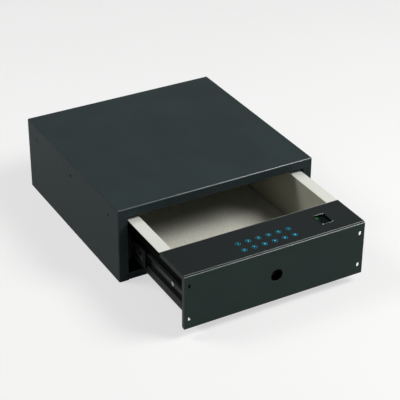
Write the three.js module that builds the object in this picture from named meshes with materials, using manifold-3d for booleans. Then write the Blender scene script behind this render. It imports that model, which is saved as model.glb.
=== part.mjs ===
// Under desk drawer safe: a steel cabinet with a drawer on ball slides, pulled part of the way out.
// Millimetres, +Z up, front towards -Y. The origin is the middle of the cabinet's underside.
import * as THREE from 'three';
import { mergeVertices } from 'three/addons/utils/BufferGeometryUtils.js';
import Module from 'manifold-3d';

const wasm = await Module();
wasm.setup();

// Overall sizes
const CABINET_WIDTH = 400;
const CABINET_DEPTH = 395;
const CABINET_HEIGHT = 148;
const PULLED_OUT = 201.3;
const MIDDLE_OUT = 52;
const HEAD_DEPTH = 86.3;

// Sheet metal, clearances, and how far a cutter runs past a face or a joined shape into its neighbour
const CABINET_SHEET = 2;
const FASCIA_SHEET = 1.5;
const DRAWER_SHEET = 1.2;
const BEND_RADIUS = 2.2;
const BEND_STEPS = 4;
const FIT = 0.2;
const PAST = 1;

// Cabinet front and side holes
const SIDE_FLANGE = 18.6;
const TOP_FLANGE = 18;
const BOTTOM_FLANGE = 15;
const SIDE_HOLE_RADIUS = 2.75;
const SIDE_HOLE_DROP = 28.5;
const SIDE_HOLE_INSET = 39;
const BACK_FLANGE = 15;
const STRIKE_LENGTH = 200;
const STRIKE_THICKNESS = 4;
const BUMPER_RADIUS = 8;
const BUMPER_NOSE = 4;
const BUMPER_LENGTH = 14.6;
const BUMPER_INSET = 39.3;

// Fascia and head cover
const FASCIA_SIDE_GAP = 2.4;
const FASCIA_LIFT = 3.6;
const FASCIA_HEIGHT = 104.2;
const FASCIA_RETURN = 8.5;
const FASCIA_CORNER = 0.6;
const RETURN_CHAMFER = 3;
const CENTRE_HOLE_RADIUS = 11.5;
const SLOT_WIDTH = 5.5;
const SLOT_HEIGHT = 8.5;
const SLOT_EDGE = 9.5;
const SLOT_SPREAD = 65;
const COVER_SETBACK = 3;
const COVER_EDGE = 1.4;
const COVER_LIP = 9.8;

// Drawer box
const RIM_GAP = 1.9;
const BOX_LIFT = 3.9;
const MAT_THICKNESS = 1.5;
const MAT_MARGIN = 0.5;
const MAT_CORNER = 4;
const REAR_RIM = 3.4;

// Slides: each section is drawn as (distance from the bracket, height from the slide's middle)
const SLIDE_START = 12;
const SLIDE_END = 16;
const SLIDE_LIFT = 38.5;
const SLIDE_THICKNESS = 12.7;
const RAIL_SHEET = 1.2;
const RAIL_BEND = 1.2;
const MIDDLE_WEB = 3.2;
const OUTER_BALL = [5.2, 18.75];
const INNER_BALL = [8.4, 13.75];
const BALL_RADIUS = 1.6;
const BALLS_PER_ROW = 4;
const RACE_RADIUS = 2.5;
const RACE_STEPS = 5;
const OUTER_RACE = [150, -10];
const MIDDLE_RACE = [90, 10];
const INNER_RACE = [325, 215];
const CAGE_SHEET = 0.4;
const CAGE_LENGTH = 120;
const CAGE_INSET = 87;
const CAGE_MARGIN = 12;
const OUTER_CAGE_WEB = 1.85;
const INNER_CAGE_WEB = 4.5;
const CAGE_WINDOW = { inset: 4, length: 36, height: 22, leg: 4 };
const RAIL_WINDOW = { inset: 8, length: 45, height: 23 };
const BRACKET_DEPTH = 25.4;
const BRACKET_SHEET = 1.5;
const BRACKET_HALF = 27;
const BRACKET_LIP = 12;
const BRACKET_END = 25;
const SCREW_HEAD_RADIUS = 4;
const SCREW_SHANK_RADIUS = 2;
const SCREW_FRONT = 74;
const SCREW_REAR = 300;

// Keypad and fingerprint reader
const KEY_COLUMNS = 6;
const KEY_ROWS = 2;
const KEY_PITCH = [20.15, 21.2];
const KEY_RADIUS = 5.5;
const KEY_CENTRE = [-1.4, 33.8];
const GUIDE_THICKNESS = 3;
const GUIDE_MARGIN = 6;
const LAMP_SIZE = 3;
const LAMP_HEIGHT = 2;
const BOARD_THICKNESS = 1.6;
const READER_INSET = 60;
const READER_CENTRE = 42.9;
const READER_SIZE = [24.5, 32];
const READER_WALL = 1.4;
const READER_PROUD = 0.6;
const READER_DEPTH = 11;
const READER_FLANGE = 3.2;
const GLASS_DEPTH = 3;
const GLASS_THICKNESS = 1.5;
const MODULE_HEIGHT = 16;

// Lock works
const BOLT_SPREAD = 45;
const BOLT_SETBACK = 10.3;
const BOLT_RADIUS = 6;
const BOLT_LENGTH = 60;
const BOLT_THROW = 15;
const SPIGOT_RADIUS = 3;
const RIVET_RADIUS = 5;
const RIVET_HEIGHT = 2.2;
const BOLT_CHAMFER = 1;
const GUIDE_BLOCK = [24, 19, 20];
const YOKE_THICKNESS = 6;
const YOKE_FRONT = 42.5;
const YOKE_EDGE = 7;
const YOKE_END = 15;
const GEAR_MODULE = 1;
const PRESSURE_ANGLE = 20;
const ROOT_DEPTH = 1.25;
const PINION_TEETH = 14;
const GEAR_WIDTH = 5.4;
const GEAR_FRONT = 44.3;
const GEAR_PLAY = 0.25;
const RACK_PITCH_LINE = 25;
const RACK_BACKING = 6;
const PINION_LIFT = 34.3;
const SHAFT_RADIUS = 2;
const MOTOR_RADIUS = 10;
const MOTOR_FRONT = 9;
const GEARBOX_SIZE = 24;
const CHASSIS_FRONT = 28;
const CHASSIS_HALF = 60;
const CHASSIS_DROP = 19.5;
const CHASSIS_FOOT = 11;

// Key override lock
const LOCK_FACE = 12;
const LOCK_HEAD_RADIUS = 10.8;
const LOCK_BARREL_RADIUS = 9;
const LOCK_BARREL_END = 34;
const NUT_RADIUS = 12;
const NUT_THICKNESS = 3.5;
const PLUG_RADIUS = 7;
const PLUG_TAIL_RADIUS = 3.5;
const KEYWAY = { width: 8, depth: 7, height: 1.8 };
const CAM_THICKNESS = 3;
const CAM_LENGTH = 18;
const CAM_HUB_RADIUS = 6;
const CAM_WIDTH = 8;
const CAM_CLEARANCE = 0.5;
const CAM_STANDOFF = 1;
const CAM_SCREW = { radius: 1, head: 4.5, height: 1.8 };
const LUG_INSET = 9.5;
const LUG_WIDTH = 11;

// Power and boards
const CELL_RADIUS = 7.2;
const CELL_LENGTH = 50;
const CELL_COUNT = 4;
const CELL_PLAY = 0.5;
const CELL_BUTTON = { radius: 2.6, height: 1.2 };
const BATTERY_INSET = 40.9;
const BATTERY_WALL = 1.6;
const DOOR_THICKNESS = 2;
const DOOR_FRAME = 7;
const DOOR_OVERLAP = 3;
const DOOR_PIN_RADIUS = 1;
const DOOR_EAR = { height: 6, half: 2 };
const DOOR_TAB = [5, 12];
const CONTROL_BOARD = { inset: 7.9, setback: 6.3, chassisGap: 18, depth: 50 };
const BOARD_POST = 6.3;
const BOARD_POST_RADIUS = 3;
const BOARD_POST_INSET = 5;
const CHIP = { size: 14, height: 2 };
const RIBBON_WIDTH = 16;
const RIBBON_THICKNESS = 0.6;
const RIBBON_SLACK = 32;
const RIBBON_STEPS = 14;
const PLUG_BLOCK = { inset: 50, length: 10, height: 4 };

// Heights and places that follow from the driving sizes
const SIDE_INNER = CABINET_WIDTH / 2 - CABINET_SHEET;
const OPENING_HALF = CABINET_WIDTH / 2 - SIDE_FLANGE;
const OPENING_TOP = CABINET_HEIGHT - TOP_FLANGE;
const DRAWER_LENGTH = CABINET_DEPTH - CABINET_SHEET - BUMPER_LENGTH - 2 * FIT;
const FASCIA_HALF = OPENING_HALF - FASCIA_SIDE_GAP;
const FASCIA_BOTTOM = BOTTOM_FLANGE + FASCIA_LIFT;
const FASCIA_TOP = FASCIA_BOTTOM + FASCIA_HEIGHT;
const FASCIA_MIDDLE = FASCIA_BOTTOM + FASCIA_HEIGHT / 2;
const COVER_UNDER = FASCIA_TOP + FIT;
const COVER_TOP = COVER_UNDER + FASCIA_SHEET;
const BRACKET_FACE = SIDE_INNER - FIT - BRACKET_DEPTH;
const SLIDE_FACE = BRACKET_FACE - FIT;
const SHELL_HALF = SLIDE_FACE - SLIDE_THICKNESS - FIT;
const SHELL_BOTTOM = FASCIA_BOTTOM + BOX_LIFT;
const SHELL_TOP = FASCIA_TOP - FASCIA_SHEET - FIT;
const SHELL_FRONT = FASCIA_SHEET + FIT;
const FLOOR_TOP = SHELL_BOTTOM + DRAWER_SHEET;
const SLIDE_HEIGHT = SHELL_BOTTOM + SLIDE_LIFT;
const SLIDE_LENGTH = DRAWER_LENGTH - SLIDE_START - SLIDE_END;
const LINER_HALF = SHELL_HALF - DRAWER_SHEET - FIT;
const LINER_FRONT = HEAD_DEPTH + FIT;
const LINER_BACK = DRAWER_LENGTH - DRAWER_SHEET - FIT;
const LINER_BOTTOM = FLOOR_TOP + FIT;
const RIM_HALF = OPENING_HALF - RIM_GAP;
const RIM_BOTTOM = FASCIA_TOP - DRAWER_SHEET;
const READER_X = FASCIA_HALF - READER_INSET;
const GUIDE_TOP = COVER_UNDER - FIT;
const GUIDE_BOTTOM = GUIDE_TOP - GUIDE_THICKNESS;
const LAMP_TOP = GUIDE_BOTTOM - FIT;
const BOLT_INSET = HEAD_DEPTH - BOLT_SETBACK;
const BOLT_TIP = FLOOR_TOP + FIT;
const YOKE_BOTTOM = BOLT_TIP + BOLT_LENGTH;
const PINION_RADIUS = GEAR_MODULE * PINION_TEETH / 2;
const PINION_X = -(RACK_PITCH_LINE + PINION_RADIUS);
const PINION_HEIGHT = FLOOR_TOP + PINION_LIFT;
const PINION_AXIS = [PINION_X, PINION_HEIGHT];
const LOCK_AXIS = [0, FASCIA_MIDDLE];
const CAM_FRONT = LOCK_BARREL_END + CAM_STANDOFF;
const CAM_REAR = CAM_FRONT + CAM_THICKNESS;
const CELL_PITCH = 2 * CELL_RADIUS + CELL_PLAY;
const BATTERY_X = BATTERY_INSET - LINER_HALF;
const BATTERY_HALF_X = (CELL_LENGTH + CELL_BUTTON.height) / 2 + CELL_PLAY;
const BATTERY_HALF_Z = CELL_COUNT * CELL_PITCH / 2 + FIT;
const DOOR_FRONT = LINER_FRONT + DRAWER_SHEET + FIT;

// Shapes and booleans

function toSolid(geometry) {
  const loose = geometry.index ? geometry.toNonIndexed() : geometry.clone();
  loose.deleteAttribute('normal');
  loose.deleteAttribute('uv');
  const merged = mergeVertices(loose, 1e-4);
  const corners = merged.index.array;
  const triangles = [];
  for (let i = 0; i < corners.length; i += 3) {
    const [a, b, c] = [corners[i], corners[i + 1], corners[i + 2]];
    if (a !== b && b !== c && c !== a) triangles.push(a, b, c);
  }
  return new wasm.Manifold(new wasm.Mesh({
    numProp: 3,
    vertProperties: new Float32Array(merged.attributes.position.array),
    triVerts: new Uint32Array(triangles),
  }));
}

function toGeometry(solid) {
  const { vertProperties, triVerts, numProp } = solid.getMesh();
  const geometry = new THREE.BufferGeometry();
  geometry.setAttribute('position', new THREE.BufferAttribute(vertProperties, numProp));
  geometry.setIndex(new THREE.BufferAttribute(triVerts, 1));
  geometry.computeVertexNormals();
  return geometry;
}

function block(x0, x1, y0, y1, z0, z1) {
  const box = new THREE.BoxGeometry(x1 - x0, y1 - y0, z1 - z0);
  return toSolid(box.translate((x0 + x1) / 2, (y0 + y1) / 2, (z0 + z1) / 2));
}

// Rests an outline on a plane and gives it depth from one place to another along the third axis.
function extrudeAlong(axis, outline, start, end) {
  const geometry = new THREE.ExtrudeGeometry(outline, {
    depth: end - start,
    bevelEnabled: false,
    curveSegments: BEND_STEPS,
  });
  const turn = new THREE.Matrix4();
  if (axis === 'x') {
    turn.makeBasis(new THREE.Vector3(0, 1, 0), new THREE.Vector3(0, 0, 1), new THREE.Vector3(1, 0, 0));
    geometry.applyMatrix4(turn).translate(start, 0, 0);
  } else if (axis === 'y') {
    turn.makeBasis(new THREE.Vector3(1, 0, 0), new THREE.Vector3(0, 0, 1), new THREE.Vector3(0, -1, 0));
    geometry.applyMatrix4(turn).translate(0, end, 0);
  } else {
    geometry.translate(0, 0, start);
  }
  return toSolid(geometry);
}

function polygon(points) {
  return new THREE.Shape(points.map(([a, b]) => new THREE.Vector2(a, b)));
}

// A rectangle whose corners are rounded by their own radii: lower left, lower right, upper right, upper left.
function roundedOutline(a0, a1, b0, b1, [r1, r2, r3, r4]) {
  const shape = new THREE.Shape();
  shape.moveTo(a0 + r1, b0);
  shape.lineTo(a1 - r2, b0);
  if (r2) shape.absarc(a1 - r2, b0 + r2, r2, -Math.PI / 2, 0, false);
  shape.lineTo(a1, b1 - r3);
  if (r3) shape.absarc(a1 - r3, b1 - r3, r3, 0, Math.PI / 2, false);
  shape.lineTo(a0 + r4, b1);
  if (r4) shape.absarc(a0 + r4, b1 - r4, r4, Math.PI / 2, Math.PI, false);
  shape.lineTo(a0, b0 + r1);
  if (r1) shape.absarc(a0 + r1, b0 + r1, r1, Math.PI, 1.5 * Math.PI, false);
  return shape;
}

// Larger rounds get more sides, between a dozen and forty.
function sidesFor(radius) {
  return THREE.MathUtils.clamp(4 * Math.round(0.9 * radius), 12, 40);
}

// A round bar along an axis through the point given by its other two coordinates.
function bar(axis, [a, b], radius, start, end, sides = sidesFor(radius)) {
  const cylinder = new THREE.CylinderGeometry(radius, radius, end - start, sides);
  const middle = (start + end) / 2;
  if (axis === 'x') cylinder.rotateZ(Math.PI / 2).translate(middle, a, b);
  else if (axis === 'y') cylinder.translate(a, middle, b);
  else cylinder.rotateX(Math.PI / 2).translate(a, b, middle);
  return toSolid(cylinder);
}

// A turned piece about the Z axis from (radius, height) points that start and end on the axis.
function turned(points) {
  const profile = points.map(([r, z]) => new THREE.Vector2(r, z));
  const widest = Math.max(...points.map(([r]) => r));
  return toSolid(new THREE.LatheGeometry(profile, sidesFor(widest)).rotateX(Math.PI / 2));
}

// Points along a circle's arc, with both ends, from one angle in degrees to another.
function arc([a, b], radius, from, to, steps) {
  return Array.from({ length: steps + 1 }, (_, i) => {
    const angle = THREE.MathUtils.degToRad(from + (to - from) * i / steps);
    return [a + radius * Math.cos(angle), b + radius * Math.sin(angle)];
  });
}

// The closed outline of a folded sheet from the line along the middle of its thickness.
function foldedOutline(line, thickness) {
  const side = (sign) => line.map(([a, b], i) => {
    const before = line[Math.max(i - 1, 0)];
    const after = line[Math.min(i + 1, line.length - 1)];
    const unit = ([p, q]) => [p / (Math.hypot(p, q) || 1), q / (Math.hypot(p, q) || 1)];
    const first = unit(i ? [a - before[0], b - before[1]] : [after[0] - a, after[1] - b]);
    const second = unit(i < line.length - 1 ? [after[0] - a, after[1] - b] : [a - before[0], b - before[1]]);
    const normal = unit([-(first[1] + second[1]), first[0] + second[0]]);
    const stretch = thickness / 2 / (normal[0] * -first[1] + normal[1] * first[0]);
    return [a + sign * stretch * normal[0], b + sign * stretch * normal[1]];
  });
  return [...side(1), ...side(-1).reverse()];
}

function joined(solids) {
  return solids.reduce((sum, solid) => sum.add(solid));
}

// Finishes
const finish = (color, roughness, metalness) => ({ color, roughness, metalness });
const BLACK_COAT = finish(0x2b3232, 0.45, 0.2);
const CREAM_COAT = finish(0xd8d9cf, 0.6, 0);
const FELT = finish(0xcfd0c6, 0.95, 0);
const BLACK_STEEL = finish(0x16181a, 0.35, 0.7);
const ZINC = finish(0x9a9c98, 0.35, 0.9);
const BRIGHT_STEEL = finish(0xc9ccce, 0.25, 1);
const BRASS = finish(0xb08d45, 0.35, 1);
const RUBBER = finish(0x1c1c1c, 0.9, 0);
const BLACK_PLASTIC = finish(0x202222, 0.5, 0);
const CIRCUIT_BOARD = finish(0x17482f, 0.5, 0);
const KEY_LIGHT = finish(0x1fa6c9, 0.3, 0);
const DARK_GLASS = finish(0x06110a, 0.08, 0);
const CELL_WRAP = finish(0x3b4046, 0.35, 0.4);
const CABLE = finish(0x8b8f90, 0.6, 0);

const root = new THREE.Group();

function movedGroup(slideOut) {
  const group = new THREE.Group();
  group.position.y = -CABINET_DEPTH / 2 - slideOut;
  root.add(group);
  return group;
}

// Everything is drawn with y measured from its own front, so a closed drawer has the cabinet's y.
const cabinet = movedGroup(0);
const drawer = movedGroup(PULLED_OUT);
const middleRails = movedGroup(MIDDLE_OUT);
const outerCages = movedGroup(MIDDLE_OUT / 2);
const innerCages = movedGroup((MIDDLE_OUT + PULLED_OUT) / 2);

function place(group, name, solid, look) {
  const mesh = new THREE.Mesh(toGeometry(solid), new THREE.MeshStandardMaterial(look));
  mesh.name = name;
  group.add(mesh);
}

// Cabinet: one folded wrap, a base with its upstand, a back panel, a strike bar and rubber stops

function cabinetWrap() {
  const half = CABINET_WIDTH / 2;
  const r = BEND_RADIUS;
  const across = roundedOutline(-half, half, 0, CABINET_HEIGHT, [0, 0, r, r]);
  const fromSide = roundedOutline(0, CABINET_DEPTH, 0, CABINET_HEIGHT, [0, 0, 0, r]);
  const fromAbove = roundedOutline(-half, half, 0, CABINET_DEPTH, [r, r, 0, 0]);
  const inside = CABINET_HEIGHT - CABINET_SHEET;
  const height = CABINET_HEIGHT - SIDE_HOLE_DROP;
  const holes = [SIDE_HOLE_INSET, CABINET_DEPTH / 2, CABINET_DEPTH - SIDE_HOLE_INSET]
    .map((y) => bar('x', [y, height], SIDE_HOLE_RADIUS, -half - PAST, half + PAST));
  return extrudeAlong('y', across, 0, CABINET_DEPTH)
    .intersect(extrudeAlong('x', fromSide, -half, half))
    .intersect(extrudeAlong('z', fromAbove, 0, CABINET_HEIGHT))
    .subtract(block(-SIDE_INNER, SIDE_INNER, CABINET_SHEET, CABINET_DEPTH + PAST, -PAST, inside))
    .subtract(block(-OPENING_HALF, OPENING_HALF, -PAST, CABINET_SHEET + PAST, -PAST, OPENING_TOP))
    .subtract(joined(holes));
}

// The base is one sheet too: its front is folded up into the lower flange of the opening.
function cabinetBase() {
  const upstand = OPENING_HALF - FIT;
  const plate = SIDE_INNER - FIT;
  const section = roundedOutline(0, CABINET_DEPTH, 0, BOTTOM_FLANGE, [BEND_RADIUS, 0, 0, 0]);
  const above = block(-plate, plate, CABINET_SHEET, CABINET_DEPTH + PAST, CABINET_SHEET, CABINET_HEIGHT);
  return extrudeAlong('x', section, -upstand, upstand)
    .subtract(above)
    .add(block(-plate, plate, CABINET_SHEET + FIT, CABINET_DEPTH, 0, CABINET_SHEET));
}

function cabinetBack() {
  const half = SIDE_INNER - FIT;
  const inner = half - CABINET_SHEET;
  const low = CABINET_SHEET + FIT;
  const high = CABINET_HEIGHT - CABINET_SHEET - FIT;
  const front = CABINET_DEPTH - BACK_FLANGE;
  const rear = CABINET_DEPTH - CABINET_SHEET;
  const hollow = block(-inner, inner, front - PAST, rear, low + CABINET_SHEET, high - CABINET_SHEET);
  return block(-half, half, front, CABINET_DEPTH, low, high).subtract(hollow);
}

function strikeBar() {
  const half = STRIKE_LENGTH / 2;
  const gap = CABINET_SHEET + FIT;
  return block(-half, half, gap, gap + STRIKE_THICKNESS, gap, BOTTOM_FLANGE - FIT);
}

// A rubber stop with a rounded nose that just meets the back of the closed drawer.
function rearBumper(side) {
  const centre = [BUMPER_RADIUS - BUMPER_NOSE, BUMPER_LENGTH - BUMPER_NOSE];
  const nose = arc(centre, BUMPER_NOSE, 0, 90, BEND_STEPS);
  return turned([[0, 0], [BUMPER_RADIUS, 0], ...nose, [0, BUMPER_LENGTH]])
    .rotate([90, 0, 0])
    .translate([side * (SHELL_HALF - BUMPER_INSET), CABINET_DEPTH - CABINET_SHEET - FIT, FASCIA_MIDDLE]);
}

place(cabinet, 'cabinet_wrap', cabinetWrap(), BLACK_COAT);
place(cabinet, 'cabinet_base', cabinetBase(), BLACK_COAT);
place(cabinet, 'cabinet_back', cabinetBack(), BLACK_COAT);
place(cabinet, 'strike_bar', strikeBar(), ZINC);

// Slides: a bracket, an outer, a middle and an inner rail on each side, with balls in cages between them

// A section drawn once for the upper half is closed by its mirror image for the lower half.
function railLine(upperHalf) {
  const lower = upperHalf.map(([s, z]) => [s, -z]).reverse();
  return [...lower, ...upperHalf];
}

function slideSolid(side, line, thickness, start, length) {
  const outline = foldedOutline(line, thickness)
    .map(([s, z]) => [side * (SLIDE_FACE - s), SLIDE_HEIGHT + z]);
  return extrudeAlong('y', polygon(outline), start, start + length);
}

function slideBracket(side) {
  const wall = SIDE_INNER - FIT - BRACKET_SHEET / 2;
  const web = BRACKET_FACE + BRACKET_SHEET / 2;
  const half = BRACKET_HALF - BRACKET_SHEET / 2;
  const line = railLine([[web, half], [wall, half], [wall, half + BRACKET_LIP]]);
  const outline = foldedOutline(line, BRACKET_SHEET).map(([x, z]) => [side * x, SLIDE_HEIGHT + z]);
  return extrudeAlong('y', polygon(outline), SLIDE_START, CABINET_DEPTH - BRACKET_END);
}

function raceway(ball, [from, to]) {
  return arc(ball, RACE_RADIUS, from, to, RACE_STEPS);
}

function outerRail(side) {
  const race = raceway(OUTER_BALL, OUTER_RACE);
  const line = railLine([[RAIL_SHEET / 2, race[0][1]], ...race]);
  return slideSolid(side, line, RAIL_SHEET, SLIDE_START, SLIDE_LENGTH);
}

// The middle rail runs between both rows of balls, and a window in its web shows the inner cage.
function middleRail(side) {
  const top = INNER_BALL[1] + RACE_RADIUS;
  const bend = arc([MIDDLE_WEB + RAIL_BEND, top - RAIL_BEND], RAIL_BEND, 180, 90, 2);
  const line = railLine([...bend, ...raceway(INNER_BALL, MIDDLE_RACE)]);
  const { inset, length, height } = RAIL_WINDOW;
  const start = SLIDE_START + inset;
  const [low, high] = [SLIDE_HEIGHT - height / 2, SLIDE_HEIGHT + height / 2];
  return slideSolid(side, line, RAIL_SHEET, SLIDE_START, SLIDE_LENGTH)
    .subtract(block(-SIDE_INNER, SIDE_INNER, start, start + length, low, high));
}

function innerRail(side) {
  const race = raceway(INNER_BALL, INNER_RACE);
  const line = railLine([[SLIDE_THICKNESS - RAIL_SHEET / 2, race[0][1]], ...race]);
  const holes = joined([SCREW_FRONT, SCREW_REAR].map((y) => screwHole(side, y)));
  return slideSolid(side, line, RAIL_SHEET, SLIDE_START, SLIDE_LENGTH).subtract(holes);
}

// A bar across one side, between two distances from the middle of the cabinet.
function sideBar(side, [y, z], radius, near, far) {
  const [start, end] = [side * near, side * far].sort((a, b) => a - b);
  return bar('x', [y, z], radius, start, end);
}

function screwHole(side, y) {
  const near = SHELL_HALF - DRAWER_SHEET - PAST;
  return sideBar(side, [y, SLIDE_HEIGHT], SCREW_SHANK_RADIUS + FIT, near, SLIDE_FACE + PAST);
}

// The screw's head sits inside the inner rail, and its shank ends flush with the drawer shell's inside.
function slideScrew(side, y) {
  const seat = SLIDE_FACE - SLIDE_THICKNESS + RAIL_SHEET + FIT;
  const place = [y, SLIDE_HEIGHT];
  const head = sideBar(side, place, SCREW_HEAD_RADIUS, seat, seat + RAIL_SHEET);
  return head.add(sideBar(side, place, SCREW_SHANK_RADIUS, SHELL_HALF - DRAWER_SHEET, seat + FIT));
}

// A ball cage is a thin channel with a crossed web at its front, and its balls stand in its two flanges.
function ballCage(side, ball, web) {
  const start = SLIDE_START + CAGE_INSET;
  const line = railLine([[web, ball[1]], [ball[0] + BALL_RADIUS, ball[1]]]);
  const gap = (CAGE_LENGTH - 2 * CAGE_MARGIN) / (BALLS_PER_ROW - 1);
  const balls = [];
  for (let i = 0; i < BALLS_PER_ROW; i += 1) {
    for (const level of [-1, 1]) {
      const sphere = new THREE.SphereGeometry(BALL_RADIUS, 8, 5);
      const y = start + CAGE_MARGIN + i * gap;
      sphere.translate(side * (SLIDE_FACE - ball[0]), y, SLIDE_HEIGHT + level * ball[1]);
      balls.push(toSolid(sphere));
    }
  }
  return slideSolid(side, line, CAGE_SHEET, start, CAGE_LENGTH)
    .subtract(crossWindows(start))
    .add(joined(balls));
}

// Four triangles between the legs of an X.
function crossWindows(start) {
  const { inset, length, height, leg } = CAGE_WINDOW;
  const [y0, y1] = [start + inset, start + inset + length];
  const [z0, z1] = [SLIDE_HEIGHT - height / 2, SLIDE_HEIGHT + height / 2];
  const [ym, zm] = [(y0 + y1) / 2, SLIDE_HEIGHT];
  const triangles = [
    [[y0 + leg, z1], [y1 - leg, z1], [ym, zm + leg]],
    [[y0 + leg, z0], [ym, zm - leg], [y1 - leg, z0]],
    [[y0, z0 + leg], [ym - leg, zm], [y0, z1 - leg]],
    [[y1, z0 + leg], [y1, z1 - leg], [ym + leg, zm]],
  ];
  return joined(triangles.map((corners) => extrudeAlong('x', polygon(corners), -SIDE_INNER, SIDE_INNER)));
}

for (const [hand, side] of [['left', -1], ['right', 1]]) {
  place(cabinet, `${hand}_slide_bracket`, slideBracket(side), BLACK_COAT);
  place(cabinet, `${hand}_outer_rail`, outerRail(side), BLACK_STEEL);
  place(cabinet, `${hand}_rear_bumper`, rearBumper(side), RUBBER);
  place(middleRails, `${hand}_middle_rail`, middleRail(side), BLACK_STEEL);
  place(outerCages, `${hand}_outer_ball_cage`, ballCage(side, OUTER_BALL, OUTER_CAGE_WEB), ZINC);
  place(innerCages, `${hand}_inner_ball_cage`, ballCage(side, INNER_BALL, INNER_CAGE_WEB), ZINC);
  place(drawer, `${hand}_inner_rail`, innerRail(side), BLACK_STEEL);
  place(drawer, `${hand}_front_slide_screw`, slideScrew(side, SCREW_FRONT), BRIGHT_STEEL);
  place(drawer, `${hand}_rear_slide_screw`, slideScrew(side, SCREW_REAR), BRIGHT_STEEL);
}

// Drawer: fascia tray, steel shell, cream liner and its rims, felt mat and head cover

function fascia() {
  const r = BEND_RADIUS;
  const depth = FASCIA_RETURN;
  const half = FASCIA_HALF;
  const inner = half - FASCIA_SHEET;
  const corner = FASCIA_CORNER;
  const fromSide = roundedOutline(0, depth, FASCIA_BOTTOM, FASCIA_TOP, [corner, 0, 0, r]);
  const fromAbove = roundedOutline(-half, half, 0, depth, [corner, corner, 0, 0]);
  const chamfer = polygon([
    [depth - RETURN_CHAMFER, FASCIA_BOTTOM - PAST],
    [depth + PAST, FASCIA_BOTTOM - PAST],
    [depth + PAST, FASCIA_BOTTOM + RETURN_CHAMFER + PAST],
  ]);
  return extrudeAlong('x', fromSide, -half, half)
    .intersect(extrudeAlong('z', fromAbove, FASCIA_BOTTOM, FASCIA_TOP))
    .subtract(block(-inner, inner, FASCIA_SHEET, depth + PAST,
      FASCIA_BOTTOM + FASCIA_SHEET, FASCIA_TOP - FASCIA_SHEET))
    .subtract(extrudeAlong('x', chamfer, -half - PAST, -inner))
    .subtract(extrudeAlong('x', chamfer, inner, half + PAST))
    .subtract(bar('y', LOCK_AXIS, CENTRE_HOLE_RADIUS, -PAST, FASCIA_SHEET + PAST))
    .subtract(joined(fasciaSlots()));
}

function fasciaSlots() {
  const r = SLOT_WIDTH / 2;
  const slots = [];
  for (const side of [-1, 1]) {
    for (const level of [-1, 1]) {
      const x = side * (FASCIA_HALF - SLOT_EDGE);
      const z = FASCIA_MIDDLE + level * SLOT_SPREAD / 2;
      const half = SLOT_HEIGHT / 2;
      const outline = roundedOutline(x - r, x + r, z - half, z + half, [r, r, r, r]);
      slots.push(extrudeAlong('y', outline, -PAST, FASCIA_SHEET + PAST));
    }
  }
  return slots;
}

function drawerShell() {
  const r = BEND_RADIUS;
  const outline = roundedOutline(-SHELL_HALF, SHELL_HALF, SHELL_BOTTOM, SHELL_TOP, [r, r, 0, 0]);
  const inner = SHELL_HALF - DRAWER_SHEET;
  const rear = DRAWER_LENGTH - DRAWER_SHEET;
  const boltHoles = [-1, 1].map((side) => bar('z', [side * BOLT_SPREAD, BOLT_INSET],
    BOLT_RADIUS + 2 * FIT, SHELL_BOTTOM - PAST, FLOOR_TOP + PAST));
  const screwHoles = [SCREW_FRONT, SCREW_REAR].flatMap((y) => [screwHole(-1, y), screwHole(1, y)]);
  return extrudeAlong('y', outline, SHELL_FRONT, DRAWER_LENGTH)
    .subtract(block(-inner, inner, SHELL_FRONT - PAST, rear, FLOOR_TOP, CABINET_HEIGHT))
    .subtract(joined(boltHoles))
    .subtract(joined(screwHoles));
}

// The space for the cells, drawn from one depth to another and grown by a margin on its four sides.
function batterySpace(y0, y1, margin = 0) {
  const [halfX, halfZ] = [BATTERY_HALF_X + margin, BATTERY_HALF_Z + margin];
  return block(BATTERY_X - halfX, BATTERY_X + halfX, y0, y1, FASCIA_MIDDLE - halfZ, FASCIA_MIDDLE + halfZ);
}

function drawerLiner() {
  const inner = LINER_HALF - DRAWER_SHEET;
  const front = LINER_FRONT + DRAWER_SHEET;
  const floor = LINER_BOTTOM + DRAWER_SHEET;
  return block(-LINER_HALF, LINER_HALF, LINER_FRONT, LINER_BACK, LINER_BOTTOM, RIM_BOTTOM - FIT)
    .subtract(block(-inner, inner, front, LINER_BACK - DRAWER_SHEET, floor, RIM_BOTTOM))
    .subtract(batterySpace(LINER_FRONT - PAST, front + PAST));
}

// The rims are strips that cap the liner's walls: a broad one over each slide, and a narrow one between them.
function sideRim(side) {
  const inner = LINER_HALF - DRAWER_SHEET;
  const [x0, x1] = [side * inner, side * RIM_HALF].sort((a, b) => a - b);
  return block(x0, x1, LINER_FRONT, LINER_BACK + REAR_RIM, RIM_BOTTOM, FASCIA_TOP);
}

function rearRim() {
  const half = LINER_HALF - DRAWER_SHEET - FIT;
  return block(-half, half, LINER_BACK - DRAWER_SHEET, LINER_BACK + REAR_RIM, RIM_BOTTOM, FASCIA_TOP);
}

function floorMat() {
  const r = MAT_CORNER;
  const half = LINER_HALF - DRAWER_SHEET - MAT_MARGIN;
  const front = LINER_FRONT + DRAWER_SHEET + MAT_MARGIN;
  const back = LINER_BACK - DRAWER_SHEET - MAT_MARGIN;
  const low = LINER_BOTTOM + DRAWER_SHEET + FIT;
  const outline = roundedOutline(-half, half, front, back, [r, r, r, r]);
  return extrudeAlong('z', outline, low, low + MAT_THICKNESS);
}

function keyPlaces() {
  const places = [];
  for (let row = 0; row < KEY_ROWS; row += 1) {
    for (let column = 0; column < KEY_COLUMNS; column += 1) {
      const x = KEY_CENTRE[0] + (column - (KEY_COLUMNS - 1) / 2) * KEY_PITCH[0];
      const y = KEY_CENTRE[1] + (row - (KEY_ROWS - 1) / 2) * KEY_PITCH[1];
      places.push([x, y]);
    }
  }
  return places;
}

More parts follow.
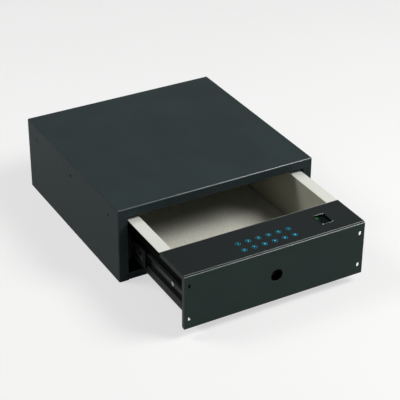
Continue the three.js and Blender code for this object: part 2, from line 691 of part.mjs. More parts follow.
// The reader's outline, grown or shrunk by a margin.
function readerBlock(margin, z0, z1) {
  const [halfX, halfY] = READER_SIZE.map((size) => size / 2 + margin);
  return block(READER_X - halfX, READER_X + halfX, READER_CENTRE - halfY, READER_CENTRE + halfY, z0, z1);
}

// A shallow lid: lips at its sides start behind the fascia's return, and a rear lip drops behind the head.
function headCover() {
  const side = FASCIA_CORNER;
  const half = FASCIA_HALF;
  const inner = half - FASCIA_SHEET;
  const rear = HEAD_DEPTH - FASCIA_SHEET;
  const rearLip = LINER_HALF - FIT;
  const [low, under] = [COVER_TOP - COVER_LIP, COVER_UNDER];
  const across = roundedOutline(-half, half, low, COVER_TOP, [0, 0, side, side]);
  const fromSide = roundedOutline(COVER_SETBACK, HEAD_DEPTH, low, COVER_TOP, [0, 0, BEND_RADIUS, COVER_EDGE]);
  const keyHoles = keyPlaces().map((place) => bar('z', place, KEY_RADIUS + FIT, low, COVER_TOP + PAST));
  return extrudeAlong('y', across, COVER_SETBACK, HEAD_DEPTH)
    .intersect(extrudeAlong('x', fromSide, -half, half))
    .subtract(block(-inner, inner, 0, rear, low - PAST, under))
    .subtract(block(-half - PAST, half + PAST, 0, FASCIA_RETURN + 2 * FIT, low - PAST, under))
    .subtract(block(-inner, -rearLip, rear - PAST, HEAD_DEPTH + PAST, low - PAST, under))
    .subtract(block(rearLip, inner, rear - PAST, HEAD_DEPTH + PAST, low - PAST, under))
    .subtract(joined(keyHoles))
    .subtract(readerBlock(FIT, low, COVER_TOP + PAST));
}

place(drawer, 'fascia', fascia(), BLACK_COAT);
place(drawer, 'drawer_shell', drawerShell(), BLACK_COAT);
place(drawer, 'drawer_liner', drawerLiner(), CREAM_COAT);
place(drawer, 'left_rim', sideRim(-1), CREAM_COAT);
place(drawer, 'right_rim', sideRim(1), CREAM_COAT);
place(drawer, 'rear_rim', rearRim(), CREAM_COAT);
place(drawer, 'floor_mat', floorMat(), FELT);
place(drawer, 'head_cover', headCover(), BLACK_COAT);

// Keypad: a light guide whose round bosses fill the cover's holes, over a board with a lamp for each key

function keypadPlate(z0, z1) {
  const halfX = (KEY_COLUMNS - 1) * KEY_PITCH[0] / 2 + KEY_RADIUS + GUIDE_MARGIN;
  const halfY = (KEY_ROWS - 1) * KEY_PITCH[1] / 2 + KEY_RADIUS + GUIDE_MARGIN;
  const [x, y] = KEY_CENTRE;
  return block(x - halfX, x + halfX, y - halfY, y + halfY, z0, z1);
}

function keypadLightGuide() {
  const bosses = keyPlaces().map((place) => bar('z', place, KEY_RADIUS, GUIDE_TOP - PAST, COVER_TOP));
  return keypadPlate(GUIDE_BOTTOM, GUIDE_TOP).add(joined(bosses));
}

function ribbonSpan() {
  return [KEY_CENTRE[1] - RIBBON_WIDTH / 2, KEY_CENTRE[1] + RIBBON_WIDTH / 2];
}

function keypadBoard() {
  const top = LAMP_TOP - LAMP_HEIGHT;
  const low = top - BOARD_THICKNESS;
  const half = LAMP_SIZE / 2;
  const lamps = keyPlaces()
    .map(([x, y]) => block(x - half, x + half, y - half, y + half, top - PAST, LAMP_TOP));
  const { inset, length, height } = PLUG_BLOCK;
  const plug = block(inset, inset + length, ...ribbonSpan(), low - height, low + PAST);
  return keypadPlate(low, top).add(joined(lamps)).add(plug);
}

// The board fills the head's floor between the lock chassis and the right wall.
function controlBoardPlace() {
  const x0 = CHASSIS_HALF + CONTROL_BOARD.chassisGap;
  const y1 = HEAD_DEPTH - CONTROL_BOARD.setback;
  return [x0, LINER_HALF - CONTROL_BOARD.inset, y1 - CONTROL_BOARD.depth, y1];
}

function controlBoard() {
  const [x0, x1, y0, y1] = controlBoardPlace();
  const [xm, ym] = [(x0 + x1) / 2, (y0 + y1) / 2];
  const low = FLOOR_TOP + BOARD_POST;
  const top = low + BOARD_THICKNESS;
  const posts = [x0 + BOARD_POST_INSET, x1 - BOARD_POST_INSET].flatMap((x) => (
    [y0 + BOARD_POST_INSET, y1 - BOARD_POST_INSET].map((y) => (
      bar('z', [x, y], BOARD_POST_RADIUS, FLOOR_TOP + FIT, low + PAST)))));
  const { length, height } = PLUG_BLOCK;
  const plug = block(x0 + length / 2, x0 + 3 * length / 2, ...ribbonSpan(), top - PAST, top + height);
  const chip = block(xm, xm + CHIP.size, ym, ym + CHIP.size, top - PAST, top + CHIP.height);
  return block(x0, x1, y0, y1, low, top).add(joined(posts)).add(plug).add(chip);
}

// The ribbon leaves the keypad board sideways, drops in an easy S and enters the control board's plug.
function keypadRibbon() {
  const { inset, length, height } = PLUG_BLOCK;
  const top = LAMP_TOP - LAMP_HEIGHT - BOARD_THICKNESS - height / 2;
  const low = FLOOR_TOP + BOARD_POST + BOARD_THICKNESS + height / 2;
  const from = inset + length + FIT;
  const to = controlBoardPlace()[0] + length / 2 - FIT;
  const curve = new THREE.CubicBezierCurve(
    new THREE.Vector2(from, top),
    new THREE.Vector2(from + RIBBON_SLACK, top),
    new THREE.Vector2(to - RIBBON_SLACK, low),
    new THREE.Vector2(to, low),
  );
  const line = curve.getPoints(RIBBON_STEPS).map((point) => [point.x, point.y]);
  return extrudeAlong('y', polygon(foldedOutline(line, RIBBON_THICKNESS)), ...ribbonSpan());
}

place(drawer, 'keypad_light_guide', keypadLightGuide(), KEY_LIGHT);
place(drawer, 'keypad_board', keypadBoard(), CIRCUIT_BOARD);
place(drawer, 'keypad_ribbon', keypadRibbon(), CABLE);
place(drawer, 'control_board', controlBoard(), CIRCUIT_BOARD);

// Fingerprint reader: a flanged frame in the cover's window, the glass in it and the module that fills it

function readerFrame() {
  const bottom = COVER_TOP - READER_DEPTH;
  return readerBlock(0, bottom, COVER_TOP + READER_PROUD)
    .add(readerBlock(READER_FLANGE, GUIDE_TOP - FASCIA_SHEET, GUIDE_TOP))
    .subtract(readerBlock(-READER_WALL, bottom - PAST, COVER_TOP + PAST));
}

function readerGlass() {
  const top = COVER_TOP - GLASS_DEPTH;
  return readerBlock(-READER_WALL - FIT, top - GLASS_THICKNESS, top);
}

function readerModule() {
  const top = COVER_TOP - GLASS_DEPTH - GLASS_THICKNESS - FIT;
  return readerBlock(-READER_WALL - FIT, top - MODULE_HEIGHT, top);
}

place(drawer, 'fingerprint_frame', readerFrame(), BLACK_PLASTIC);
place(drawer, 'fingerprint_glass', readerGlass(), DARK_GLASS);
place(drawer, 'fingerprint_module', readerModule(), BLACK_PLASTIC);

// Lock works: a chassis plate carries the motor and the key lock, and the motor's pinion lifts the bolt yoke

function lockChassis() {
  const low = FLOOR_TOP + FIT;
  const front = CHASSIS_FRONT;
  const rear = front + FASCIA_SHEET;
  const plate = block(-CHASSIS_HALF, CHASSIS_HALF, front, rear, low, COVER_TOP - CHASSIS_DROP);
  const foot = block(-CHASSIS_HALF, CHASSIS_HALF, front, front + CHASSIS_FOOT, low, low + FASCIA_SHEET);
  return plate.add(foot)
    .subtract(bar('y', LOCK_AXIS, LOCK_BARREL_RADIUS + FIT, front - PAST, rear + PAST))
    .subtract(bar('y', PINION_AXIS, MOTOR_RADIUS + FIT, front - PAST, rear + PAST));
}

function gearMotor() {
  const rear = CHASSIS_FRONT + FASCIA_SHEET + FIT;
  const half = GEARBOX_SIZE / 2;
  const gearbox = block(PINION_X - half, PINION_X + half, rear, YOKE_FRONT - 2 * FIT,
    PINION_HEIGHT - half, PINION_HEIGHT + half);
  return bar('y', PINION_AXIS, MOTOR_RADIUS, MOTOR_FRONT, rear + PAST).add(gearbox);
}

// Widths of a straight-sided tooth at its tip, on the pitch line and at its root.
function toothWidths() {
  const slope = Math.tan(THREE.MathUtils.degToRad(PRESSURE_ANGLE)) * GEAR_MODULE;
  const middle = Math.PI * GEAR_MODULE / 2 - GEAR_PLAY;
  return [middle - 2 * slope, middle, middle + 2 * slope];
}

function drivePinion() {
  const [tip, middle, root] = toothWidths();
  const tipRadius = PINION_RADIUS + GEAR_MODULE;
  const rootRadius = PINION_RADIUS - ROOT_DEPTH * GEAR_MODULE;
  const outline = [];
  for (let i = 0; i < PINION_TEETH; i += 1) {
    const corner = (radius, offset) => {
      const angle = 2 * Math.PI * i / PINION_TEETH + offset / radius;
      return [PINION_X + radius * Math.cos(angle), PINION_HEIGHT + radius * Math.sin(angle)];
    };
    outline.push(
      corner(rootRadius, -root / 2),
      corner(PINION_RADIUS, -middle / 2),
      corner(tipRadius, -tip / 2),
      corner(tipRadius, tip / 2),
      corner(PINION_RADIUS, middle / 2),
      corner(rootRadius, root / 2),
    );
  }
  const rear = GEAR_FRONT + GEAR_WIDTH;
  const shaft = bar('y', PINION_AXIS, SHAFT_RADIUS, YOKE_FRONT - FIT, rear + PAST);
  return extrudeAlong('y', polygon(outline), GEAR_FRONT, rear).add(shaft);
}

// The rack's teeth stand towards the pinion, with a gap between two of them at the pinion's height.
function rack() {
  const [tip, , root] = toothWidths();
  const pitch = Math.PI * GEAR_MODULE;
  const reach = PINION_RADIUS - 2 * GEAR_MODULE;
  const rootLine = ROOT_DEPTH * GEAR_MODULE - RACK_PITCH_LINE;
  const tipLine = -GEAR_MODULE - RACK_PITCH_LINE;
  const back = RACK_BACKING - RACK_PITCH_LINE;
  const teeth = [];
  for (let i = Math.floor(-reach / pitch); i < Math.ceil((BOLT_THROW + reach) / pitch); i += 1) {
    const z = PINION_HEIGHT + (i + 0.5) * pitch;
    teeth.push([rootLine, z - root / 2], [tipLine, z - tip / 2]);
    teeth.push([tipLine, z + tip / 2], [rootLine, z + root / 2]);
  }
  const low = teeth[0][1] - PAST;
  const high = YOKE_BOTTOM + PAST;
  const outline = [[back, low], [rootLine, low], ...teeth, [rootLine, high], [back, high]];
  return extrudeAlong('y', polygon(outline), GEAR_FRONT, GEAR_FRONT + GEAR_WIDTH);
}

// The yoke carries both bolts, hangs the rack beside the pinion and holds a lug over the key cam.
function boltYoke() {
  const half = BOLT_SPREAD + YOKE_END;
  const top = YOKE_BOTTOM + YOKE_THICKNESS;
  const rear = BOLT_INSET + YOKE_EDGE;
  const camTop = FASCIA_MIDDLE + CAM_WIDTH / 2 + CAM_CLEARANCE;
  const lugFront = LOCK_BARREL_END + FIT;
  const lug = block(LUG_INSET, LUG_INSET + LUG_WIDTH, lugFront, YOKE_FRONT + PAST, camTop, top);
  const holes = [-1, 1].map((side) => bar('z', [side * BOLT_SPREAD, BOLT_INSET],
    SPIGOT_RADIUS + FIT, YOKE_BOTTOM - PAST, top + PAST));
  return block(-half, half, YOKE_FRONT, rear, YOKE_BOTTOM, top)
    .add(lug)
    .add(rack())
    .subtract(joined(holes));
}

// A shouldered pin with a chamfered tip, riveted over above the yoke.
function lockBolt(side) {
  const shoulder = BOLT_LENGTH - FIT;
  const neck = BOLT_LENGTH + YOKE_THICKNESS + FIT;
  const profile = [
    [0, 0],
    [BOLT_RADIUS - BOLT_CHAMFER, 0],
    [BOLT_RADIUS, BOLT_CHAMFER],
    [BOLT_RADIUS, shoulder],
    [SPIGOT_RADIUS, shoulder],
    [SPIGOT_RADIUS, neck],
    [RIVET_RADIUS, neck],
    [RIVET_RADIUS - BOLT_CHAMFER, neck + RIVET_HEIGHT],
    [0, neck + RIVET_HEIGHT],
  ];
  return turned(profile).translate([side * BOLT_SPREAD, BOLT_INSET, BOLT_TIP]);
}

function boltGuide(side) {
  const [width, depth, height] = GUIDE_BLOCK;
  const [x, y, z] = [side * BOLT_SPREAD, BOLT_INSET, FLOOR_TOP + FIT];
  return block(x - width / 2, x + width / 2, y - depth / 2, y + depth / 2, z, z + height)
    .subtract(bar('z', [x, y], BOLT_RADIUS + FIT, z - PAST, z + height + PAST));
}

place(drawer, 'lock_chassis', lockChassis(), ZINC);
place(drawer, 'gear_motor', gearMotor(), BRIGHT_STEEL);
place(drawer, 'drive_pinion', drivePinion(), BRASS);
place(drawer, 'bolt_yoke', boltYoke(), ZINC);
for (const [hand, side] of [['left', -1], ['right', 1]]) {
  place(drawer, `${hand}_lock_bolt`, lockBolt(side), BRIGHT_STEEL);
  place(drawer, `${hand}_bolt_guide`, boltGuide(side), BLACK_PLASTIC);
}

// Key override: a cam lock on the chassis plate, reached through the fascia's centre hole

function alongLock(points) {
  return turned(points).rotate([-90, 0, 0]).translate([0, 0, FASCIA_MIDDLE]);
}

function keyLockBody() {
  const shoulder = CHASSIS_FRONT - FIT;
  const profile = [
    [0, LOCK_FACE],
    [LOCK_HEAD_RADIUS - BOLT_CHAMFER, LOCK_FACE],
    [LOCK_HEAD_RADIUS, LOCK_FACE + BOLT_CHAMFER],
    [LOCK_HEAD_RADIUS, shoulder],
    [LOCK_BARREL_RADIUS, shoulder],
    [LOCK_BARREL_RADIUS, LOCK_BARREL_END],
    [0, LOCK_BARREL_END],
  ];
  return alongLock(profile)
    .subtract(bar('y', LOCK_AXIS, PLUG_RADIUS + FIT, LOCK_FACE - PAST, LOCK_BARREL_END + PAST));
}

// A six-sided nut behind the chassis plate.
function keyLockNut() {
  const front = CHASSIS_FRONT + FASCIA_SHEET + FIT;
  const rear = front + NUT_THICKNESS;
  return bar('y', LOCK_AXIS, NUT_RADIUS, front, rear, 6)
    .subtract(bar('y', LOCK_AXIS, LOCK_BARREL_RADIUS + FIT, front - PAST, rear + PAST));
}

function keyPlug() {
  const { width, depth, height } = KEYWAY;
  const face = LOCK_FACE + FIT;
  const profile = [
    [0, face],
    [PLUG_RADIUS, face],
    [PLUG_RADIUS, LOCK_BARREL_END],
    [PLUG_TAIL_RADIUS, LOCK_BARREL_END],
    [PLUG_TAIL_RADIUS, CAM_REAR],
    [0, CAM_REAR],
  ];
  const keyway = block(-width / 2, width / 2, face - PAST, face + depth,
    FASCIA_MIDDLE - height / 2, FASCIA_MIDDLE + height / 2);
  return alongLock(profile)
    .subtract(keyway)
    .subtract(bar('y', LOCK_AXIS, CAM_SCREW.radius + FIT, CAM_FRONT, CAM_REAR + PAST));
}

// With the bolts drawn back the key is a quarter turn round: its slot lies level and the cam's finger
// holds up the yoke's lug.
function keyCam() {
  const half = CAM_WIDTH / 2;
  const finger = block(0, CAM_LENGTH, CAM_FRONT, CAM_REAR, FASCIA_MIDDLE - half, FASCIA_MIDDLE + half);
  return bar('y', LOCK_AXIS, CAM_HUB_RADIUS, CAM_FRONT, CAM_REAR)
    .add(finger)
    .subtract(bar('y', LOCK_AXIS, PLUG_TAIL_RADIUS + FIT, CAM_FRONT - PAST, CAM_REAR + PAST));
}

function camScrew() {
  const { radius, head, height } = CAM_SCREW;
  const seat = CAM_REAR + FIT;
  return bar('y', LOCK_AXIS, head, seat, seat + height)
    .add(bar('y', LOCK_AXIS, radius, CAM_FRONT + FIT, seat + PAST));
}

place(drawer, 'key_lock_body', keyLockBody(), BLACK_STEEL);
place(drawer, 'key_lock_nut', keyLockNut(), BRIGHT_STEEL);
place(drawer, 'key_plug', keyPlug(), BLACK_STEEL);
place(drawer, 'key_cam', keyCam(), ZINC);
place(drawer, 'cam_screw', camScrew(), BRIGHT_STEEL);

// Power: four cells in a box behind the liner's front wall, closed by a door on the drawer's inside

function batteryBox() {
  const rear = LINER_FRONT - FIT;
  const front = rear - CELL_PITCH;
  return batterySpace(front - BATTERY_WALL, rear, BATTERY_WALL).subtract(batterySpace(front, rear + PAST));
}

// Each cell lies crosswise, with its button to the left or right in turn.
function batteryCell(index) {
  const { radius, height } = CELL_BUTTON;
  const half = CELL_LENGTH / 2;
  const profile = [
    [0, -half],
    [CELL_RADIUS, -half],
    [CELL_RADIUS, half],
    [radius, half],
    [radius, half + height],
    [0, half + height],
  ];
  const facing = index % 2 ? 1 : -1;
  const y = LINER_FRONT - 2 * FIT - CELL_RADIUS;
  const z = FASCIA_MIDDLE + (index - (CELL_COUNT - 1) / 2) * CELL_PITCH;
  return turned(profile).rotate([0, facing * 90, 0]).translate([BATTERY_X - facing * height / 2, y, z]);
}

function doorAxis() {
  const x = BATTERY_X - BATTERY_HALF_X - DOOR_OVERLAP;
  return [x, DOOR_FRONT + DOOR_THICKNESS + DOOR_EAR.half];
}

// The bezel lines the window on the drawer's inside, and two ears on its left hold the door's pin.
function batteryBezel() {
  const rear = DOOR_FRONT + DOOR_THICKNESS;
  const [x, y] = doorAxis();
  const { height, half } = DOOR_EAR;
  const reach = BATTERY_HALF_Z + FIT + height;
  const ears = block(x - half, x + half, DOOR_FRONT, y + half, FASCIA_MIDDLE - reach, FASCIA_MIDDLE + reach);
  const gap = block(x - half - PAST, x + half + PAST, rear, y + half + PAST,
    FASCIA_MIDDLE - BATTERY_HALF_Z - FIT, FASCIA_MIDDLE + BATTERY_HALF_Z + FIT);
  const pin = reach - PAST + FIT;
  return batterySpace(DOOR_FRONT, rear, DOOR_FRAME)
    .add(ears.subtract(gap))
    .subtract(batterySpace(DOOR_FRONT - PAST, rear + PAST, PAST))
    .subtract(bar('z', [x, y], DOOR_PIN_RADIUS + FIT, FASCIA_MIDDLE - pin, FASCIA_MIDDLE + pin));
}

// The door lies over the window and turns on a barrel between the bezel's ears.
function batteryDoor() {
  const [x, y] = doorAxis();
  const [low, high] = [FASCIA_MIDDLE - BATTERY_HALF_Z, FASCIA_MIDDLE + BATTERY_HALF_Z];
  const front = DOOR_FRONT + DOOR_THICKNESS + FIT;
  const rear = front + DOOR_THICKNESS;
  const far = BATTERY_X + BATTERY_HALF_X + DOOR_OVERLAP;
  const [width, height] = DOOR_TAB;
  const tab = block(far - width, far, front, rear + DOOR_THICKNESS,
    FASCIA_MIDDLE - height / 2, FASCIA_MIDDLE + height / 2);
  return block(x, far, front, rear, low, high)
    .add(bar('z', [x, y], DOOR_EAR.half - FIT, low, high))
    .add(tab)
    .subtract(bar('z', [x, y], DOOR_PIN_RADIUS + FIT / 2, low - PAST, high + PAST));
}

function batteryDoorPin() {
  const reach = BATTERY_HALF_Z + FIT + DOOR_EAR.height - PAST;
  return bar('z', doorAxis(), DOOR_PIN_RADIUS, FASCIA_MIDDLE - reach, FASCIA_MIDDLE + reach);
}

place(drawer, 'battery_box', batteryBox(), BLACK_PLASTIC);
for (let i = 0; i < CELL_COUNT; i += 1) place(drawer, `battery_${i + 1}`, batteryCell(i), CELL_WRAP);
place(drawer, 'battery_bezel', batteryBezel(), BLACK_PLASTIC);
place(drawer, 'battery_door', batteryDoor(), BLACK_PLASTIC);
place(drawer, 'battery_door_pin', batteryDoorPin(), BRIGHT_STEEL);

export default root;
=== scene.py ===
# %% [markdown]
# # An under desk drawer safe, pulled half open
#
# The real thing is a folded steel cabinet that screws to the underside of a desk, with a drawer on
# ball slides. A keypad and a fingerprint reader sit in the top of the drawer's head, just behind
# its front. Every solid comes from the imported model, at its true size and place, so this lesson
# gives those solids their finishes, makes the few pieces that want finer shapes, and sets up the
# picture.

import math

import bmesh
import bpy
import numpy as np
from mathutils import Matrix, Vector


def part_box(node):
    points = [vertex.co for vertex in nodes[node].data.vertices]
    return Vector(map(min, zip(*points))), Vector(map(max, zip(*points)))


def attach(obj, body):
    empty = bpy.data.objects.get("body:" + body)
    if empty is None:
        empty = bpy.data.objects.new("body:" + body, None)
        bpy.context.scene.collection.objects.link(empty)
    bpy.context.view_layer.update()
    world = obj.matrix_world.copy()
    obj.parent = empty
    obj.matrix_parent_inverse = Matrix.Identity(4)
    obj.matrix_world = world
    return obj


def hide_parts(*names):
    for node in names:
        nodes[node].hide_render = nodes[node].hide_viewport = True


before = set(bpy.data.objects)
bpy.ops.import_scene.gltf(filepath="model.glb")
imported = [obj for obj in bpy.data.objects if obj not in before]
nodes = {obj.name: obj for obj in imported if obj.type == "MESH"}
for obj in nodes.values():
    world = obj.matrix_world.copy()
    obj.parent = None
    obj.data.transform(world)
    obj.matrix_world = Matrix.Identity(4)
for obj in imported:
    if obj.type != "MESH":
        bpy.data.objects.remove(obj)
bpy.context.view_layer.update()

# %% [markdown]
# ## The camera
#
# The picture looks down on the safe from the front left with a long lens, so its edges stay nearly
# parallel. A camera could be placed by eye and nudged until it fits. Here its angles, distance and
# lens were worked out beforehand from the places of the cabinet's six visible corners, so they are
# simply written down. The tiny roll is the tilt at which the picture was taken.

# %% Camera
AIM = Vector((0.0653, -0.0154, 0.0))
AZIMUTH, ELEVATION, ROLL = (math.radians(degrees) for degrees in (-29.43, 30.79, 0.39))
DISTANCE = 2.6124
LENS = 119.76


def towards(azimuth, elevation):
    """The direction from the object to a point round it: azimuth turns from the front to its right."""
    flat = math.cos(elevation)
    return Vector((math.sin(azimuth) * flat, -math.cos(azimuth) * flat, math.sin(elevation)))


def put_camera():
    """Stands the camera at its distance along that direction, facing back, then rolls it about its
    own axis."""
    back = towards(AZIMUTH, ELEVATION)
    camera = bpy.data.objects.new("camera", bpy.data.cameras.new("camera"))
    camera.data.lens = LENS
    turn = back.to_track_quat("Z", "Y").to_matrix().to_4x4() @ Matrix.Rotation(ROLL, 4, "Z")
    camera.matrix_world = Matrix.Translation(AIM + back * DISTANCE) @ turn
    bpy.context.scene.collection.objects.link(camera)
    bpy.context.scene.camera = camera
    return camera


print("camera at", np.round(put_camera().matrix_world.translation, 3))

# %% [markdown]
# ## Surfaces from numbers
#
# Every new piece is a grid of points that a formula gives, joined into four-sided faces. Modelling
# by hand would do as well, but a formula states the shape exactly and is easy to change. Three small
# helpers do the joining: one numbers the faces of a grid, one puts arrays into a mesh, and one merges
# points that coincide.

# %% Grids and meshes
MERGE_DISTANCE = 1e-6


def grid_faces(rows, columns, ring=False):
    """Corners of each face of a rows x columns grid, row by row. A ring also joins the last column to
    the first."""
    r, c = np.meshgrid(np.arange(rows - 1), np.arange(columns if ring else columns - 1), indexing="ij")
    right = (c + 1) % columns
    this_row, next_row = r * columns, (r + 1) * columns
    corners = [this_row + c, this_row + right, next_row + right, next_row + c]
    return np.stack(corners, -1).reshape(-1, 4)


def new_mesh(name, points, faces):
    """A linked object at the origin with these points and faces."""
    mesh = bpy.data.meshes.new(name)
    mesh.from_pydata(np.asarray(points).reshape(-1, 3).tolist(), [], [list(face) for face in faces])
    mesh.update()
    piece = bpy.data.objects.new(name, mesh)
    bpy.context.scene.collection.objects.link(piece)
    return piece


def weld(piece):
    """Merges points that fall together, such as a grid's pole, and turns every face outwards."""
    work = bmesh.new()
    work.from_mesh(piece.data)
    bmesh.ops.remove_doubles(work, verts=work.verts, dist=MERGE_DISTANCE)
    bmesh.ops.recalc_face_normals(work, faces=work.faces)
    work.to_mesh(piece.data)
    work.free()
    return piece


print("a 3 x 4 ring has", len(grid_faces(3, 4, ring=True)), "faces")

# %% [markdown]
# ## Finishes as sums
#
# A finish here is a small network of shader nodes. Writing it as sums keeps it readable, so a
# wrapper round a node's output lets Python's own signs add the Math nodes: `1 - rub * 0.3` makes a
# Multiply and a Subtract node. Colours never pass through those, because a Math node turns a colour
# grey. They go through Mix nodes instead.

# %% Signals
class Signal:
    """A number that changes over a surface. Each sign used on it adds one Math node."""

    def __init__(self, network, socket):
        self.network, self.socket = network, socket

    def __add__(self, other):
        return self.network.maths("ADD", self, other)

    def __sub__(self, other):
        return self.network.maths("SUBTRACT", self, other)

    def __rsub__(self, other):
        return self.network.maths("SUBTRACT", other, self)

    def __mul__(self, other):
        return self.network.maths("MULTIPLY", self, other)

    __radd__, __rmul__ = __add__, __mul__


class Network:
    """The shader nodes of a material or of the world, emptied first."""

    def __init__(self, owner):
        owner.use_nodes = True
        self.tree = owner.node_tree
        self.tree.nodes.clear()

    def node(self, kind, settings=None, sockets=None):
        """A new node: its settings first, then a value or a link for each socket named or numbered."""
        made = self.tree.nodes.new("ShaderNode" + kind)
        for name, value in (settings or {}).items():
            setattr(made, name, value)
        for name, value in (sockets or {}).items():
            value = value.socket if isinstance(value, Signal) else value
            if isinstance(value, bpy.types.NodeSocket):
                self.tree.links.new(value, made.inputs[name])
            else:
                made.inputs[name].default_value = value
        return made

    def maths(self, operation, *values):
        """A Math node on these numbers or signals."""
        made = self.node("Math", {"operation": operation}, dict(enumerate(values)))
        return Signal(self, made.outputs[0])

    def vector(self, operation, *values):
        """A Vector Math node whose result is a vector."""
        return self.node("VectorMath", {"operation": operation}, dict(enumerate(values))).outputs[0]

    def measure(self, operation, *values):
        """A Vector Math node whose result is a number, such as a length."""
        made = self.node("VectorMath", {"operation": operation}, dict(enumerate(values)))
        return Signal(self, made.outputs["Value"])


print("signs on a signal:", [sign for sign in dir(Signal) if sign.strip("_") in ("add", "sub", "mul")])

# %% [markdown]
# ## What finishes share
#
# Most finishes here want the same few things: noise at some scale, a smooth step between two levels,
# a mix of two colours, edges that look slightly rounded, and relief. Blender's own names for these
# are long, so a Finish gives each one a short method. It reads the place on the object itself, not
# a picture wrapped round it, so a pattern keeps its true size on every piece.

# %% Finishes
class Finish(Network):
    """One material in the making, with short names for the nodes that finishes share."""

    def __init__(self, name):
        self.material = bpy.data.materials.new(name)
        super().__init__(self.material)
        self.place = self.node("TexCoord").outputs["Object"]

    def stretched(self, scale, shift=(0, 0, 0)):
        """The surface's own place, in metres, times scale, plus shift."""
        made = self.node("Mapping", {}, {"Vector": self.place, "Scale": scale, "Location": shift})
        return made.outputs[0]

    def noise(self, scale, detail=2, vector=None):
        """Cloudy noise from 0 to 1, with scale bumps to the metre."""
        sockets = {"Vector": vector or self.place, "Scale": scale, "Detail": detail}
        return Signal(self, self.node("TexNoise", {}, sockets).outputs[0])

    def ramp(self, signal, low, high, to=(0, 1)):
        """Rises smoothly from to[0] at low to to[1] at high, and stays there."""
        made = self.node("MapRange", {"interpolation_type": "SMOOTHSTEP"},
                         {0: signal, 1: low, 2: high, 3: to[0], 4: to[1]})
        return Signal(self, made.outputs[0])

    def mix(self, share, first, second):
        """Goes from the first colour to the second as share goes from 0 to 1."""
        made = self.node("Mix", {"data_type": "RGBA"}, {0: share, 6: first, 7: second})
        return made.outputs[2]

    def axis(self, letter):
        """One of the three coordinates of the surface's place, in metres."""
        return Signal(self, self.node("SeparateXYZ", {}, {0: self.place}).outputs[letter])

    def rounded(self, radius):
        """The normal as if each sharp edge were rounded off to this radius."""
        return self.node("Bevel", {"samples": 6}, {"Radius": radius}).outputs[0]

    def edge_wear_and_sheen(self, normal):
        """Nears 1 along edges, where the rounded normal leans away from the flat one."""
        flat = self.node("NewGeometry").outputs["True Normal"]
        return self.ramp(self.measure("DOT_PRODUCT", normal, flat), 0.998, 0.9)

    def fold(self, normal, sideways=0.15):
        """Nears 1 on folds, where the rounded normal lies along none of the three axes. Folds that turn
        to the side get the share sideways of it, as the highlight that it partly paints is weaker
        there."""
        parts = self.node("SeparateXYZ", {}, {0: self.vector("ABSOLUTE", normal)}).outputs
        most = self.maths("MAXIMUM", self.maths("MAXIMUM", parts[0], parts[1]), parts[2])
        return self.ramp(most, 0.98, 0.9) * self.ramp(parts[0], 0.15, 0.4, (1, sideways))

    def relief(self, height, depth, normal):
        """Bumps this deep, in metres, on top of a normal."""
        sockets = {"Strength": 1.0, "Distance": depth, "Height": height, "Normal": normal}
        return self.node("Bump", {}, sockets).outputs[0]

    def close(self, **sockets):
        """Feeds the surface shader, whose sockets are in small letters here, and returns the finish."""
        titles = (name.replace("_", " ").title().replace("Ior", "IOR") for name in sockets)
        shader = self.node("BsdfPrincipled", {}, dict(zip(titles, sockets.values())))
        self.node("OutputMaterial", {}, {"Surface": shader.outputs[0]})
        return self


def shade(red, green, blue):
    """Eight-bit numbers, as read off a swatch, turned to the linear colour that a shader takes."""
    parts = np.array([red, green, blue]) / 255
    return (*np.where(parts <= 0.04045, parts / 12.92, ((parts + 0.055) / 1.055) ** 2.4), 1.0)


def times(colour, factor):
    """The same colour, lighter or darker."""
    return (*(part * factor for part in colour[:3]), 1.0)


def dress(finish, *names):
    """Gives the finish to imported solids."""
    for name in names:
        for slot in nodes[name].material_slots:
            slot.material = finish.material
    print(finish.material.name, "on", ", ".join(names))


print("middle grey as a linear value:", round(shade(128, 128, 128)[0], 3))

# %% [markdown]
# ## Black powder coat
#
# The steel is sprayed with dry powder and baked. That leaves an even, satin, blue-black skin with a
# fine orange-peel relief, faint clouds where it lies thicker, and a smoother line along each front
# fold, painted lighter partly as wear and partly as a highlight, less on folds that turn sideways.
# A flat colour would look like plastic, so the skin's relief and its gloss each get their own noise,
# and its edges their own mask. The cabinet, front, cover and shell were coated in different batches
# and differ a little in tint; the shell's lighter tint is partly painted light on its sides. Its
# sides behind the slides are painted black as shade, and the cover's rear edge carries a thin pale
# line of painted highlight.

# %% Black coat
PAINTED_SHADE_BLACK = shade(2, 3, 3)
PAINTED_HIGHLIGHT_GREY = shade(137, 139, 133)
SOFT_EDGE = 0.0004


